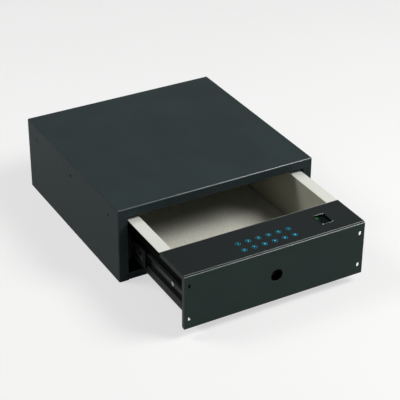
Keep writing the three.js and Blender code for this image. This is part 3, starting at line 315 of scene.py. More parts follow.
def powder_coat(name, colour, roughness, level, peel=0.00003, wear_and_highlight=3, painted_shade_band=None, bare=None):
    """Sprayed powder: colour x clouds, a two-sized peel as relief, edges smoother and painted lighter,
    partly as wear and partly as highlight. Where primer gives how far out and between which heights,
    the sides are painted black as shade. Where bare gives a place and a height, the edge behind and
    above them carries a pale painted highlight."""
    finish = Finish(name)
    normal = finish.rounded(0.0004)
    edge_wear_and_sheen = finish.fold(normal)
    clouds = finish.noise(11, 4)
    specks = finish.noise(2600, 1)
    skin = finish.noise(820, 2) * 0.75 + specks * 0.25
    body = finish.mix(finish.ramp(clouds, 0.25, 0.75), times(colour, 0.9), times(colour, 1.1))
    body = finish.mix(finish.ramp(specks, 0.55, 0.8) * 0.25, body, times(colour, 1.8))
    # The folds are painted lighter here, partly as wear and partly as a painted highlight.
    body = finish.mix(edge_wear_and_sheen * 0.5, body, times(colour, wear_and_highlight))
    # Between two heights on the far-out sides, black is painted over the coat as shade.
    if painted_shade_band:
        out, low, high = painted_shade_band
        side = finish.ramp(finish.maths("ABSOLUTE", finish.axis("X")), out - 0.0006, out - 0.0002)
        height = finish.axis("Z")
        side = side * finish.ramp(height, low, low + 0.002) * finish.ramp(height, high, high - 0.002)
        body = finish.mix(side, body, PAINTED_SHADE_BLACK)
        roughness = roughness + side * 0.5
    # A pale line is painted along an edge here as a highlight.
    if bare:
        behind, above = bare
        strip = finish.ramp(finish.axis("Y"), behind, behind + SOFT_EDGE)
        strip = strip * finish.ramp(finish.axis("Z"), above, above + SOFT_EDGE)
        body = finish.mix(strip, body, PAINTED_HIGHLIGHT_GREY)
    gloss = roughness + (clouds - 0.5) * 0.12 + (finish.noise(60, 3) - 0.5) * 0.08
    return finish.close(base_color=body, roughness=gloss, specular_ior_level=level, coat_weight=edge_wear_and_sheen,
                        coat_roughness=0.2, normal=finish.relief(skin, peel, normal))


dress(powder_coat("cabinet_coat", shade(43, 52, 53), 0.42, 0.03, wear_and_highlight=3.4),
      "cabinet_wrap", "cabinet_base", "cabinet_back", "left_slide_bracket", "right_slide_bracket")
dress(powder_coat("front_coat", shade(23, 40, 36), 0.45, 0.14, wear_and_highlight=2), "fascia")
# The last few millimetres of the cover's rear edge carry a thin pale painted highlight.
HIGHLIGHT_DEPTH, HIGHLIGHT_FALL = 0.0027, 0.0016
COVER_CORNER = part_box("head_cover")[1]
REAR_EDGE = (COVER_CORNER.y - HIGHLIGHT_DEPTH, COVER_CORNER.z - HIGHLIGHT_FALL)
dress(powder_coat("drawer_coat", shade(20, 26, 26), 0.48, 0.10, bare=REAR_EDGE), "head_cover")
SHELL_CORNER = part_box("drawer_shell")[1]
RAIL_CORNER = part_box("left_inner_rail")[0]
# The shell's sides, from just under the slides to just under the top, are painted black as shade.
SHADED_SIDES = (SHELL_CORNER.x, RAIL_CORNER.z - 0.004, SHELL_CORNER.z - 0.004)
# The shell's coat is lighter than the cover's, partly as painted light on its sides.
dress(powder_coat("shell_coat_painted_light", shade(26, 30, 29), 0.48, 0.08, painted_shade_band=SHADED_SIDES), "drawer_shell")

# %% [markdown]
# ## Cream coat
#
# The drawer's liner and its broad rims are coated in a warm off-white. It is the same baked powder, a
# little finer, and it picks up faint grey scuffs where things slide in and out. The liner is a darker
# cream than the rims, as painted shade on the walls inside the drawer. Scuffs could be painted by
# hand, but noise that is stretched along the drawer gives the same streaks.

# %% Cream coat
def cream_coat(name, dull, clean):
    """Pale powder: from dull to clean in faint clouds, with grey scuffs along the drawer, fine peel."""
    finish = Finish(name)
    normal = finish.rounded(0.0007)
    clouds = finish.noise(8, 3)
    scuffs = finish.ramp(finish.noise(1, 4, finish.stretched((420, 26, 160))), 0.62, 0.8)
    skin = finish.noise(1100, 2)
    cream = finish.mix(clouds, dull, clean)
    body = finish.mix(scuffs * 0.12, cream, times(dull, 0.5))
    gloss = 0.46 + (clouds - 0.5) * 0.1 + scuffs * 0.1
    return finish.close(base_color=body, roughness=gloss, specular_ior_level=0.4,
                        normal=finish.relief(skin, 0.00002, normal))


dress(cream_coat("cream_coat", shade(208, 210, 202), shade(219, 221, 212)),
      "left_rim", "right_rim", "rear_rim")
# The liner's cream is darker than the rims', as painted shade inside the drawer.
dress(cream_coat("liner_coat_painted_shade", shade(166, 166, 151), shade(180, 180, 164)), "drawer_liner")

# %% [markdown]
# ## Felt mat
#
# A sheet of pressed felt lies loose on the drawer's floor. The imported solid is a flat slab, and felt
# never lies quite flat, so a fuller piece takes its place: a sheet whose top dips by up to half a
# millimetre and whose edge is soft. Cloth simulation would be wasted on something that only lies
# there, so the gentle waves are written as a sum of sines.

# %% Felt mat
LIP_WIDTH, LIP_DEPTH, WAVE_HEIGHT = 0.0012, 0.0006, 0.00012


def felt_mat(name, low, high, cell=0.004, corner=0.004):
    """A slab from low to high. Its outline is a rounded rectangle: a square grid pulled in at the
    corners. The top is high, less a lip that deepens with the square of the nearness to the edge,
    less waves of sines in x and y."""
    middle, half = (low + high) / 2, (high - low) / 2
    count = int(2 * half[0] / cell)
    u, v = np.meshgrid(np.linspace(-1, 1, count), np.linspace(-1, 1, count), indexing="ij")
    x, y = u * half[0], v * half[1]
    over_x = np.maximum(abs(x) - half[0] + corner, 0)
    over_y = np.maximum(abs(y) - half[1] + corner, 0)
    pull = corner / np.maximum(np.hypot(over_x, over_y), corner)
    x = np.sign(x) * (np.minimum(abs(x), half[0] - corner) + over_x * pull)
    y = np.sign(y) * (np.minimum(abs(y), half[1] - corner) + over_y * pull)
    inset = np.minimum(half[0] - abs(x), half[1] - abs(y))
    lip = np.clip(1 - inset / LIP_WIDTH, 0, 1) ** 2 * LIP_DEPTH
    waves = np.sin(x * 61 + np.sin(y * 47)) + np.sin(y * 73 + 1.3 * np.sin(x * 39)) - 2
    waves = WAVE_HEIGHT * waves
    top = np.stack([x + middle[0], y + middle[1], high[2] - lip + waves], -1)
    bottom = top * [1, 1, 0] + [0, 0, low[2]]
    faces = grid_faces(count, count)
    size = count * count
    along = np.arange(count)
    ring = np.concatenate([along * count, (count - 1) * count + along[1:],
                           along[-2::-1] * count + count - 1, along[-2:0:-1]])
    after = np.roll(ring, -1)
    wall = np.stack([ring, after, after + size, ring + size], -1)
    return new_mesh(name, np.concatenate([top.reshape(-1, 3), bottom.reshape(-1, 3)]),
                    np.concatenate([faces[:, ::-1], faces + size, wall]))


def felt():
    """Pressed fibres: short streaks laid both ways, tangled by a fine noise, in paler patches."""
    finish = Finish("felt")
    along = finish.noise(1, 3, finish.stretched((900, 260, 900)))
    across = finish.noise(1, 3, finish.stretched((280, 820, 900)))
    fibres = finish.maths("MAXIMUM", along, across)
    tangle = finish.noise(520, 4)
    patches = finish.noise(16, 3)
    body = finish.mix(finish.ramp(fibres, 0.4, 0.7), shade(194, 193, 180), shade(230, 228, 215))
    body = finish.mix(finish.ramp(patches, 0.3, 0.7) * 0.3, body, shade(204, 202, 188))
    height = fibres * 0.6 + tangle * 0.4
    return finish.close(base_color=body, roughness=0.95, sheen_weight=0.25, sheen_roughness=0.5,
                        specular_ior_level=0.2,
                        normal=finish.relief(height, 0.0004, finish.rounded(0.0004)))


def lay_mat():
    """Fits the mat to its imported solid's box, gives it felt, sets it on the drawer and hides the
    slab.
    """
    low, high = (np.array(corner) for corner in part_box("floor_mat"))
    mat = felt_mat("felt_mat", low, high)
    mat.data.materials.append(felt().material)
    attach(mat, "drawer")
    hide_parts("floor_mat")
    return mat


print("felt mat with", len(lay_mat().data.polygons), "faces")

# %% [markdown]
# ## Blackened slide steel
#
# The slides' rails are rolled strip, blackened and oiled. Rolling leaves fine lines along the rail,
# and the balls have polished narrow tracks, so the steel is darker and glossier than the coat. The
# front 9 mm of the drawer's own rails is painted black as shade. The key lock deep in the front's
# round hole has the same blackened finish. The lines are noise again, stretched along the rail, and
# the painted shade begins at a place along it.

# %% Slide steel
RAIL_STRETCH = (1500, 18, 1500)
SHADED_FRONT_LENGTH = 0.009


def slide_steel(name, stretch, shaded_front=None):
    """Black oxide over metal: fine lines along one way, a broad dull bloom, and edges painted lighter,
    partly as bare steel and partly as highlight. In front of the place cap it is painted flat black
    as shade."""
    finish = Finish(name)
    normal = finish.rounded(0.0004)
    edge_wear_and_sheen = finish.edge_wear_and_sheen(normal)
    lines = finish.noise(1, 3, finish.stretched(stretch))
    bloom = finish.noise(45, 4)
    body = finish.mix(finish.ramp(lines, 0.3, 0.7), shade(7, 8, 9), shade(18, 20, 22))
    # The edges are painted lighter here, partly as bare steel and partly as a painted highlight.
    body = finish.mix(edge_wear_and_sheen * 0.6, body, shade(118, 120, 122))
    gloss = 0.34 + (bloom - 0.5) * 0.25 - edge_wear_and_sheen * 0.1
    # In front of that place the rail is painted black as shade.
    if shaded_front:
        front_shade = finish.ramp(finish.axis("Y"), shaded_front + 0.0002, shaded_front - 0.0002)
        body = finish.mix(front_shade, body, shade(3, 3, 3))
        gloss = gloss + front_shade * 0.4
    return finish.close(base_color=body, roughness=gloss, metallic=0.2, specular_ior_level=0.16,
                        normal=finish.relief(lines, 0.00001, normal))


dress(slide_steel("rail_steel", RAIL_STRETCH),
      "left_outer_rail", "right_outer_rail", "left_middle_rail", "right_middle_rail")
# The front 9 mm of the drawer's rails are painted black as shade.
dress(slide_steel("front_shaded_rail_steel", RAIL_STRETCH, shaded_front=RAIL_CORNER.y + SHADED_FRONT_LENGTH),
      "left_inner_rail", "right_inner_rail")
dress(slide_steel("lock_steel", (60, 60, 60)), "key_lock_body", "key_plug")

# %% [markdown]
# ## Zinc plate
#
# The working parts are zinc plated. The plate grows in small flat crystals that each catch the
# light a little differently, with a faint yellow or blue cast. A Voronoi pattern gives each crystal
# its own tone, and the same tone shifts its gloss. The cages that hold the slides' balls are the same
# plate made darker, at 0.22 of its lightness.

# %% Zinc plate
def zinc_plate(name, clean=1.0):
    """Metal whose tone and gloss step from crystal to crystal. Its colours are scaled by clean, the
    share of their lightness that is kept."""
    finish = Finish(name)
    normal = finish.rounded(0.0004)
    edge_wear_and_sheen = finish.edge_wear_and_sheen(normal)
    crystals = finish.node("TexVoronoi", {}, {"Vector": finish.place, "Scale": 420.0})
    tone = Signal(finish, finish.node("SeparateColor", {}, {0: crystals.outputs["Color"]}).outputs[0])
    cast = finish.noise(30, 3)
    body = finish.mix(tone, times(shade(150, 152, 152), clean), times(shade(186, 188, 190), clean))
    body = finish.mix(finish.ramp(cast, 0.4, 0.75) * 0.35, body, times(shade(188, 180, 152), clean))
    body = finish.mix(edge_wear_and_sheen * 0.6, body, times(shade(222, 224, 226), clean))
    gloss = 0.3 + tone * 0.16 + (cast - 0.5) * 0.1
    return finish.close(base_color=body, roughness=gloss, metallic=1.0,
                        normal=finish.relief(finish.noise(900, 2), 0.000006, normal))


dress(zinc_plate("zinc_plate"), "strike_bar", "lock_chassis", "bolt_yoke", "key_cam")
dress(zinc_plate("darkened_zinc", clean=0.22), "left_outer_ball_cage", "right_outer_ball_cage",
      "left_inner_ball_cage", "right_inner_ball_cage")

# %% [markdown]
# ## Turned steel and brass
#
# Bolts, pins and the pinion are turned on a lathe, which leaves fine rings round their axis. Noise
# that is squeezed along the axis draws those rings, so the finish is made once for pieces that stand
# upright and once for those that lie front to back.

# %% Turned metal
UPRIGHT, LEVEL = (90, 90, 3800), (90, 3800, 90)


def turned_metal(name, stretch, dark, light, roughness):
    """Metal with tool rings across the way that is stretched most, and a few stains."""
    finish = Finish(name)
    normal = finish.rounded(0.0005)
    rings = finish.noise(1, 2, finish.stretched(stretch))
    stains = finish.ramp(finish.noise(140, 4), 0.5, 0.8)
    body = finish.mix(finish.ramp(rings, 0.3, 0.7), dark, light)
    body = finish.mix(stains * 0.3, body, times(dark, 0.6))
    gloss = roughness + (rings - 0.5) * 0.15 + stains * 0.15
    return finish.close(base_color=body, roughness=gloss, metallic=1.0,
                        normal=finish.relief(rings, 0.000008, normal))


STEEL = (shade(176, 178, 180), shade(226, 227, 228))
BRASS = (shade(176, 136, 66), shade(226, 190, 112))
dress(turned_metal("upright_steel", UPRIGHT, *STEEL, 0.22),
      "left_lock_bolt", "right_lock_bolt", "battery_door_pin")
dress(turned_metal("level_steel", LEVEL, *STEEL, 0.26), "gear_motor", "key_lock_nut", "cam_screw")
dress(turned_metal("pinion_brass", LEVEL, *BRASS, 0.28), "drive_pinion")

# %% [markdown]
# ## Slide screws
#
# Two screws on each side hold the drawer to its slides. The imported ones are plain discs. The real
# ones are pan heads with a cross recess, and the front left one glints in the picture. A pan head
# is a surface of revolution except for its cross, so it is computed on a round grid: the height at
# each point is the dome less the cross.

# %% Slide screws
HEAD_HEIGHT = 0.0012
ARM_HALF_WIDTH, ARM_SLOPE = 0.2, 0.05
ARM_REACH, END_SLOPE = 0.7, 0.08


def pan_head(name, node, out, rings=26, sides=72):
    """A screw along x that fills the node's box. With r the share of its radius, the head's height is
    dome(r) - cross(a, b): the dome rises 0.45 (1 - r^4) of the whole height above the rim, and the
    cross is cut where the smaller of |a| and |b| is under ARM_HALF_WIDTH and r under ARM_REACH."""
    low, high = (np.array(corner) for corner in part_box(node))
    seat, tip = (low[0], high[0]) if out > 0 else (high[0], low[0])
    centre, radius, deep = (low + high) / 2, (high[2] - low[2]) / 2, abs(tip - seat)
    r = np.linspace(0, 1, rings)[:, None] ** 0.8
    angle = np.linspace(0, 2 * np.pi, sides, endpoint=False)[None, :]
    a, b = r * np.cos(angle), r * np.sin(angle)
    across = np.clip((ARM_HALF_WIDTH - np.minimum(abs(a), abs(b))) / ARM_SLOPE, 0, 1)
    cross = across * np.clip((ARM_REACH - r) / END_SLOPE, 0, 1)
    dome = HEAD_HEIGHT * (0.55 + 0.45 * (1 - r**4) + 0 * angle)
    under = deep - HEAD_HEIGHT
    outer = np.stack([under + dome - HEAD_HEIGHT * 0.8 * cross, a * radius, b * radius], -1)
    reach = np.array([radius, radius * 0.5, radius * 0.5, 0.0])[:, None]
    depth = np.array([under, under, 0, 0])[:, None]
    inner = np.stack([depth + 0 * angle, reach * np.cos(angle), reach * np.sin(angle)], -1)
    local = np.concatenate([outer, inner])
    points = np.array([seat, centre[1], centre[2]]) + local * [out, 1, 1]
    faces = grid_faces(len(local), sides, ring=True)
    return new_mesh(name, points, faces if out < 0 else faces[:, ::-1])


def bright_zinc():
    """Bright zinc: nearly smooth metal with a faint blue cast and tiny pits. The cross, which is what
    lies 0.6 to 0.9 mm or more under the head's tip, is dark, partly as grease and partly as painted
    shade."""
    finish = Finish("bright_zinc")
    pits = finish.noise(1800, 2)
    cast = finish.noise(220, 3)
    body = finish.mix(cast, shade(160, 166, 172), shade(206, 206, 202))
    tip = max(abs(corner.x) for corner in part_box("left_front_slide_screw"))
    sunk = tip - finish.maths("ABSOLUTE", finish.axis("X"))
    # The cross is painted dark, partly as grease and partly as painted shade in the recess.
    body = finish.mix(finish.ramp(sunk, 0.0006, 0.0009), body, shade(30, 30, 32))
    return finish.close(base_color=body, roughness=0.18 + pits * 0.16, metallic=1.0,
                        normal=finish.relief(pits, 0.00001, finish.rounded(0.0003)))


def fit_screws():
    """Puts one pan head in the place of each plain screw."""
    finish = bright_zinc().material
    for hand, out in (("left", -1), ("right", 1)):
        for place in ("front", "rear"):
            screw = pan_head(f"{hand}_{place}_pan_screw", f"{hand}_{place}_slide_screw", out)
            weld(screw)
            screw.data.materials.append(finish)
            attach(screw, "drawer")
            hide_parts(f"{hand}_{place}_slide_screw")
            print(screw.name, len(screw.data.polygons), "faces")


fit_screws()

# %% [markdown]
# ## Moulded plastic and rubber
#
# Guides, the battery tray and its door are moulded in a dull black plastic whose mould was spark
# eroded, which leaves a fine even grain. The two stops at the back of the cabinet are rubber, which
# is duller still and greys with dust. A grain of less than a millimetre is too fine to model, so it
# is relief in the finish.

# %% Plastic and rubber
def moulded(name, colour, roughness, grain, depth):
    """A grain of two sizes as relief, and dust that gathers in broad patches."""
    finish = Finish(name)
    normal = finish.rounded(0.0005)
    pores = finish.noise(grain, 3)
    dust = finish.ramp(finish.noise(26, 5), 0.45, 0.85)
    body = finish.mix(pores, times(colour, 0.85), times(colour, 1.15))
    body = finish.mix(dust * 0.12, body, shade(120, 118, 112))
    return finish.close(base_color=body, roughness=roughness + dust * 0.12 + (pores - 0.5) * 0.1,
                        normal=finish.relief(pores, depth, normal))


dress(moulded("black_plastic", shade(34, 34, 35), 0.5, 1500, 0.00003),
      "left_bolt_guide", "right_bolt_guide", "battery_box", "battery_bezel", "battery_door",
      "fingerprint_module")
dress(moulded("rubber", shade(28, 28, 28), 0.82, 700, 0.00005), "left_rear_bumper", "right_rear_bumper")

# %% [markdown]
# ## Circuit boards
#
# Two boards sit in the head: one under the keys and one that runs the motor. A board is green
# lacquer over copper tracks, with tinned pads. Brick patterns whose mortar is very thin draw tracks
# that run both ways, and a regular Voronoi pattern gives the pads. What stands above the board,
# such as its chip and plug, takes a black or white plastic by its height.

# %% Circuit boards
BOARD_THICKNESS = 0.0016


def tracks(finish, vector, mortar, width, height):
    """The thin mortar of a wall of long bricks."""
    sockets = {"Vector": vector, "Scale": 1.0, "Mortar Size": mortar, "Mortar Smooth": 0.1,
               "Brick Width": width, "Row Height": height}
    return Signal(finish, finish.node("TexBrick", {}, sockets).outputs["Fac"])


def circuit_board(name, bottom):
    """Lacquer, tracks and pads from the height bottom up through the board's thickness, and dark
    plastic beyond."""
    finish = Finish(name)
    along = tracks(finish, finish.stretched((600, 600, 600)), 0.09, 6.0, 1.0)
    quarter_turn = {"Vector": finish.place, "Rotation": (0, 0, math.pi / 2), "Scale": (430, 430, 430)}
    across = tracks(finish, finish.node("Mapping", {}, quarter_turn).outputs[0], 0.08, 9.0, 1.3)
    region = finish.ramp(finish.noise(70, 1), 0.49, 0.51)
    track = along * region + across * (1 - region)
    dots = finish.node("TexVoronoi", {}, {"Vector": finish.place, "Scale": 390.0, "Randomness": 0.0})
    pads = finish.ramp(Signal(finish, dots.outputs["Distance"]), 0.3, 0.24)
    pads = pads * finish.ramp(finish.noise(55, 1), 0.5, 0.52)
    height = finish.axis("Z")
    top = bottom + BOARD_THICKNESS
    above = finish.ramp(height, top + 0.0001, top + 0.0002)
    below = finish.ramp(height, bottom - 0.0001, bottom - 0.0002)
    part = finish.maths("MAXIMUM", above, below)
    body = finish.mix(track, shade(16, 74, 46), shade(44, 120, 70))
    body = finish.mix(pads, body, shade(190, 188, 176))
    body = finish.mix(part, body, shade(30, 30, 32))
    bare = pads * (1 - part)
    return finish.close(base_color=body, roughness=0.42 - bare * 0.12 + part * 0.12, metallic=bare,
                        normal=finish.relief(track + pads, 0.00003, finish.rounded(0.0003)))


GUIDE_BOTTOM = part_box("keypad_light_guide")[0].z
dress(circuit_board("keypad_lacquer", GUIDE_BOTTOM - 0.0038), "keypad_board")
PLUG_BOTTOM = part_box("control_board")[0].z
dress(circuit_board("board_lacquer", PLUG_BOTTOM + 0.0061), "control_board")

# %% [markdown]
# ## Ribbon cable
#
# A flat grey ribbon joins the two boards. Its wires lie side by side, so the ribbon is ribbed along
# its length, and its first wire is red to show which way round it goes. Each wire could be a tube of
# its own, but a sine wave as relief looks the same at this size.

# %% Ribbon cable
WIRE_PITCH = 0.00127


def ribbon_cable():
    """Ribs across the width as a sine of y, and a red edge at the low end of y."""
    finish = Finish("ribbon_cable")
    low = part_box("keypad_ribbon")[0].y
    across = finish.axis("Y") - low
    ribs = finish.maths("SINE", across * (2 * math.pi / WIRE_PITCH)) * 0.5 + 0.5
    edge = finish.ramp(across, 0.0014, 0.0012)
    body = finish.mix(ribs, shade(104, 106, 108), shade(150, 152, 153))
    body = finish.mix(edge, body, shade(150, 36, 30))
    return finish.close(base_color=body, roughness=0.5 + (finish.noise(400, 2) - 0.5) * 0.1,
                        normal=finish.relief(ribs, 0.0002, finish.rounded(0.0002)))


dress(ribbon_cable(), "keypad_ribbon")

# %% [markdown]
# ## Cells
#
# Four small cells run the lock. Each has a thin printed sleeve, here plain slate with a pale band
# at its button end, and bare steel ends. A picture of a label could be wrapped round each. Bands by
# the distance from the button need no picture. The cells lie crosswise and face left and right in
# turn, so each one's band is placed from its own box.

# %% Cells
def cell_sleeve(name, node, facing):
    """Slate sleeve with a pale band from 5.3 to 11.4 mm behind the button's tip, and bare metal in
    the first 1.8 mm and the last 0.7 mm."""
    finish = Finish(name)
    low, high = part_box(node)
    length = high.x - low.x
    from_button = (high.x - finish.axis("X")) if facing > 0 else (finish.axis("X") - low.x)
    band = finish.ramp(from_button, 0.0115, 0.0112) * finish.ramp(from_button, 0.0052, 0.0055)
    metal = finish.maths("MAXIMUM", finish.ramp(from_button, 0.0019, 0.0017),
                         finish.ramp(from_button, length - 0.0008, length - 0.0006))
    scuffs = finish.noise(300, 4)
    body = finish.mix(scuffs, shade(44, 58, 70), shade(56, 72, 86))
    body = finish.mix(band, body, shade(206, 204, 196))
    body = finish.mix(metal, body, shade(200, 201, 202))
    return finish.close(base_color=body, roughness=0.28 + scuffs * 0.12, metallic=metal,
                        normal=finish.relief(scuffs, 0.00001, finish.rounded(0.0005)))


for number in range(1, 5):
    cell = f"battery_{number}"
    dress(cell_sleeve(f"cell_sleeve_{number}", cell, facing=1 if number % 2 else -1), cell)

# %% [markdown]
# ## Lit keys
#
# The keys are round bosses of a clear light guide, flush with the cover. Blue lamps under them light
# a ring round each key and the sign in its middle. The ring comes from the distance to the nearest
# key's centre: the place is scaled so that one key fills one unit square, its fraction taken, and
# the distance from that square's middle measured.

# %% Light guide
KEY_PITCH = (0.02015, 0.0212)
GUIDE_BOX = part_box("keypad_light_guide")
KEY_MIDDLE = (GUIDE_BOX[0] + GUIDE_BOX[1]) / 2
RING_INSIDE, RING_OUTSIDE = (0.0039, 0.0043), (0.0050, 0.0046)
CORE_RADIUS = 0.0034


def light_guide():
    """Clear blue plastic that glows in a thin ring from 4.1 to 4.8 mm round each key's middle, and
    faintly inside it."""
    finish = Finish("key_light")
    wide, deep = KEY_PITCH
    shift = (-KEY_MIDDLE.x / wide, -KEY_MIDDLE.y / deep, 0)
    spot = finish.vector("FRACTION", finish.stretched((1 / wide, 1 / deep, 0), shift))
    spot = finish.vector("SUBTRACT", spot, (0.5, 0.5, 0))
    spot = finish.vector("MULTIPLY", spot, (wide, deep, 0))
    away = finish.measure("LENGTH", spot)
    ring = finish.ramp(away, *RING_INSIDE) * finish.ramp(away, *RING_OUTSIDE)
    core = finish.ramp(away, CORE_RADIUS, 0.0)
    haze = finish.noise(700, 3)
    glow = finish.mix(core, shade(0, 6, 18), shade(0, 18, 36))
    glow = finish.mix(ring * (haze * 0.4 + 0.8), glow, shade(0, 136, 164))
    body = finish.mix(haze, shade(0, 6, 14), shade(2, 10, 20))
    return finish.close(base_color=body, roughness=0.3 + haze * 0.1, specular_ior_level=0.1,
                        emission_color=glow, emission_strength=1.0, normal=finish.rounded(0.0002))


dress(light_guide(), "keypad_light_guide")

# %% [markdown]
# ## Signs on the keys
#
# The signs are the plain figures 1 to 9, 0 and the two usual signs of a keypad. They are printed on
# top of each key, a twentieth of a millimetre thick. Text is the natural tool: a font curve is
# filled, made a mesh and then put in its place. All twelve share one mesh, because they share one
# ink.

# %% Key signs
SIGNS = ("67890#", "12345*")
SIGN_SIZE, SIGN_BOLDNESS = 0.0056, 0.0001
HALF_THICKNESS = 0.000025


def sign(letter, x, y, z):
    """One letter as a thin mesh, 4 mm high, centred on x, y and lying on the height z."""
    curve = bpy.data.curves.new("sign", "FONT")
    curve.body, curve.size, curve.offset = letter, SIGN_SIZE, SIGN_BOLDNESS
    curve.extrude = HALF_THICKNESS
    carrier = bpy.data.objects.new("sign", curve)
    bpy.context.scene.collection.objects.link(carrier)
    mesh = bpy.data.meshes.new_from_object(carrier.evaluated_get(bpy.context.evaluated_depsgraph_get()))
    bpy.data.objects.remove(carrier)
    points = np.array([vertex.co for vertex in mesh.vertices])
    points -= (points.min(0) + points.max(0)) / 2
    return points + [x, y, z + HALF_THICKNESS], [tuple(face.vertices) for face in mesh.polygons]


def key_signs():
    """All twelve signs in one mesh, on top of the light guide."""
    top = GUIDE_BOX[1].z
    points, faces, count = [], [], 0
    for row, line in enumerate(SIGNS):
        for column, letter in enumerate(line):
            x = KEY_MIDDLE.x + (column - 2.5) * KEY_PITCH[0]
            y = KEY_MIDDLE.y + (row - 0.5) * KEY_PITCH[1]
            new_points, new_faces = sign(letter, x, y, top)
            points.append(new_points)
            faces += [tuple(np.add(face, count)) for face in new_faces]
            count += len(new_points)
    return weld(new_mesh("key_signs", np.concatenate(points), faces))


def lit_ink():
    """Translucent ink that glows a bright blue-green, uneven with its fine grain."""
    finish = Finish("lit_ink")
    grain = finish.noise(1600, 2)
    glow = finish.mix(grain, shade(20, 178, 196), shade(70, 224, 236))
    body = finish.mix(grain, shade(30, 90, 100), shade(40, 110, 120))
    return finish.close(base_color=body, roughness=0.5, emission_color=glow, emission_strength=1.1)


signs = key_signs()
signs.data.materials.append(lit_ink().material)
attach(signs, "drawer")
print("key signs with", len(signs.data.polygons), "faces")

# %% [markdown]
# ## The reader's window
#
# A black metal frame stands a little proud of the cover, and its pale edges catch the light; they are
# partly bare metal and partly painted highlight. Inside it is a sheet of dark glass over the sensor,
# nearly black and very smooth, with a green lamp that glows through at its back left corner. A real
# lamp under see-through glass would take many more rays of light to render. Here the glass glows by
# itself, less with the distance from that corner.

# %% Reader glass
GLOW_REACH = 0.0085


def reader_glass():
    """Black glass: a base near zero, and a green glow that falls to nothing over GLOW_REACH from a
    spot in the back left corner. Smears of grease are a little duller."""
    finish = Finish("dark_glass")
    low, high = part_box("fingerprint_glass")
    spot = (low.x + 0.002, high.y - 0.004, high.z)
    fall = finish.ramp(finish.measure("DISTANCE", finish.place, spot), 0.0, GLOW_REACH)
    glow = finish.mix(fall, shade(34, 116, 60), shade(0, 6, 4))
    smears = finish.noise(180, 4)
    body = finish.mix(smears, shade(2, 5, 5), shade(5, 10, 9))
    gloss = 0.06 + finish.ramp(smears, 0.5, 0.8) * 0.18
    return finish.close(base_color=body, roughness=gloss, specular_ior_level=0.02, emission_color=glow,
                        emission_strength=1.0, normal=finish.rounded(0.0003))


def reader_frame():
    """Black anodised metal: near black on its flats, and pale on the rounded edges, partly as bare
    metal and partly as painted highlight.
    """
    finish = Finish("reader_frame")
    normal = finish.rounded(0.0006)
    edge_wear_and_sheen = finish.fold(normal)
    grain = finish.noise(1500, 2)
    body = finish.mix(grain, shade(8, 11, 11), shade(14, 17, 17))
    # The edges are pale here, partly as bare metal and partly as a painted highlight.
    body = finish.mix(edge_wear_and_sheen, body, shade(150, 154, 152))
    return finish.close(base_color=body, roughness=0.3 + grain * 0.08, metallic=edge_wear_and_sheen,
                        specular_ior_level=0.1, normal=finish.relief(grain, 0.000004, normal))


dress(reader_glass(), "fingerprint_glass")
dress(reader_frame(), "fingerprint_frame")

# %% [markdown]
# ## Floor
#
# The stage is a plain pale floor, as in a studio. In light that shows the object's colours as they
# are written, such a floor photographs as light grey. A studio would burn it out with more light,
# which would spoil the object. Here the floor shows a share of pure white to the camera and to mirror
# rays alone, so it looks nearly white, it is nearly white in every reflection, and its shadow stays.

# %% Floor
def seen_directly(network):
    """1 for a ray from the camera, off a glossy surface or through glass, and 0 for a diffuse one."""
    path = network.node("LightPath")
    most = path.outputs["Is Camera Ray"]
    for kind in ("Is Glossy Ray", "Is Transmission Ray"):
        most = network.maths("MAXIMUM", most, path.outputs[kind])
    return most


def floor_paper(white_share=0.6):
    """Matt paper, faintly mottled and grained. A share of white is mixed in where the floor is seen."""
    finish = Finish("floor_paper")
    mottle = finish.noise(3, 5)
    body = finish.mix(mottle, shade(228, 228, 226), shade(236, 236, 234))
    flat = finish.node("NewGeometry").outputs["Normal"]
    paper = finish.node("BsdfPrincipled", {}, {
        "Base Color": body, "Roughness": 0.85, "Specular IOR Level": 0.2,
        "Normal": finish.relief(finish.noise(260, 3), 0.0001, flat)})
    white = finish.node("Emission", {}, {"Color": (1, 1, 1, 1), "Strength": 1.0})
    share = seen_directly(finish) * white_share
    shown = finish.node("MixShader", {}, {0: share, 1: paper.outputs[0], 2: white.outputs[0]})
    finish.node("OutputMaterial", {}, {"Surface": shown.outputs[0]})
    return finish


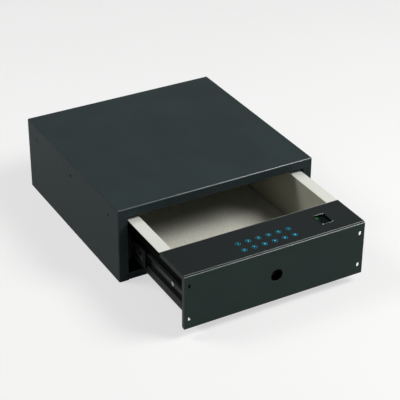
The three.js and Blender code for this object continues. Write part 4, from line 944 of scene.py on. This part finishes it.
def floor(reach=5.0, steps=24):
    """A flat square: z = 0 for x and y from -reach to reach."""
    x, y = np.meshgrid(np.linspace(-reach, reach, steps), np.linspace(-reach, reach, steps))
    piece = new_mesh("floor", np.stack([x, y, np.zeros_like(x)], -1), grid_faces(steps, steps))
    piece.data.materials.append(floor_paper().material)
    return piece


print("floor faces up:", floor().data.polygons[0].normal.z > 0)

# %% [markdown]
# ## Lamps and sky
#
# A wide key lamp stands in front, to the right and well above. It throws light over the drawer's
# right wall and under the cabinet's edge, so the mat is bright near the front. A weaker wide lamp
# behind on the left lights the inside of the right wall and the cabinet's left side. A faint even sky
# does the rest. A single bright lamp would be simpler, but its shadows would be hard and the drawer's
# inside would be lost in them.

# %% Lamps and sky
LAMP_AIM = Vector((0, -0.1, 0.07))


def lamp(name, place, size, power):
    """A rectangular soft lamp at place, which faces the middle of the object."""
    light = bpy.data.lights.new(name, "AREA")
    light.shape, light.size, light.size_y = "RECTANGLE", size[0], size[1]
    light.energy = power
    carrier = bpy.data.objects.new(name, light)
    away = Vector(place) - LAMP_AIM
    carrier.matrix_world = Matrix.Translation(place) @ away.to_track_quat("Z", "Y").to_matrix().to_4x4()
    bpy.context.scene.collection.objects.link(carrier)


def sky(lit, shown):
    """An even sky that lights at one strength and is seen, also in metal and glass, at another."""
    world = bpy.data.worlds.new("sky")
    bpy.context.scene.world = world
    air = Network(world)
    dim = air.node("Background", {}, {"Color": (0.96, 0.98, 1, 1), "Strength": lit})
    bright = air.node("Background", {}, {"Color": (1, 1, 0.99, 1), "Strength": shown})
    parts = {0: seen_directly(air), 1: dim.outputs[0], 2: bright.outputs[0]}
    air.node("OutputWorld", {}, {"Surface": air.node("MixShader", {}, parts).outputs[0]})


lamp("key_lamp", place=(1.5, -1.3, 2.1), size=(1.3, 1.1), power=69)
lamp("back_lamp", place=(-1.5, 0.7, 2.05), size=(1.0, 1.1), power=29)
sky(lit=0.09, shown=0.62)
bpy.context.scene.view_settings.view_transform = "Standard"
print("two lamps and a sky")

# %% [markdown]
# Nothing added here may make the safe bigger than it is.
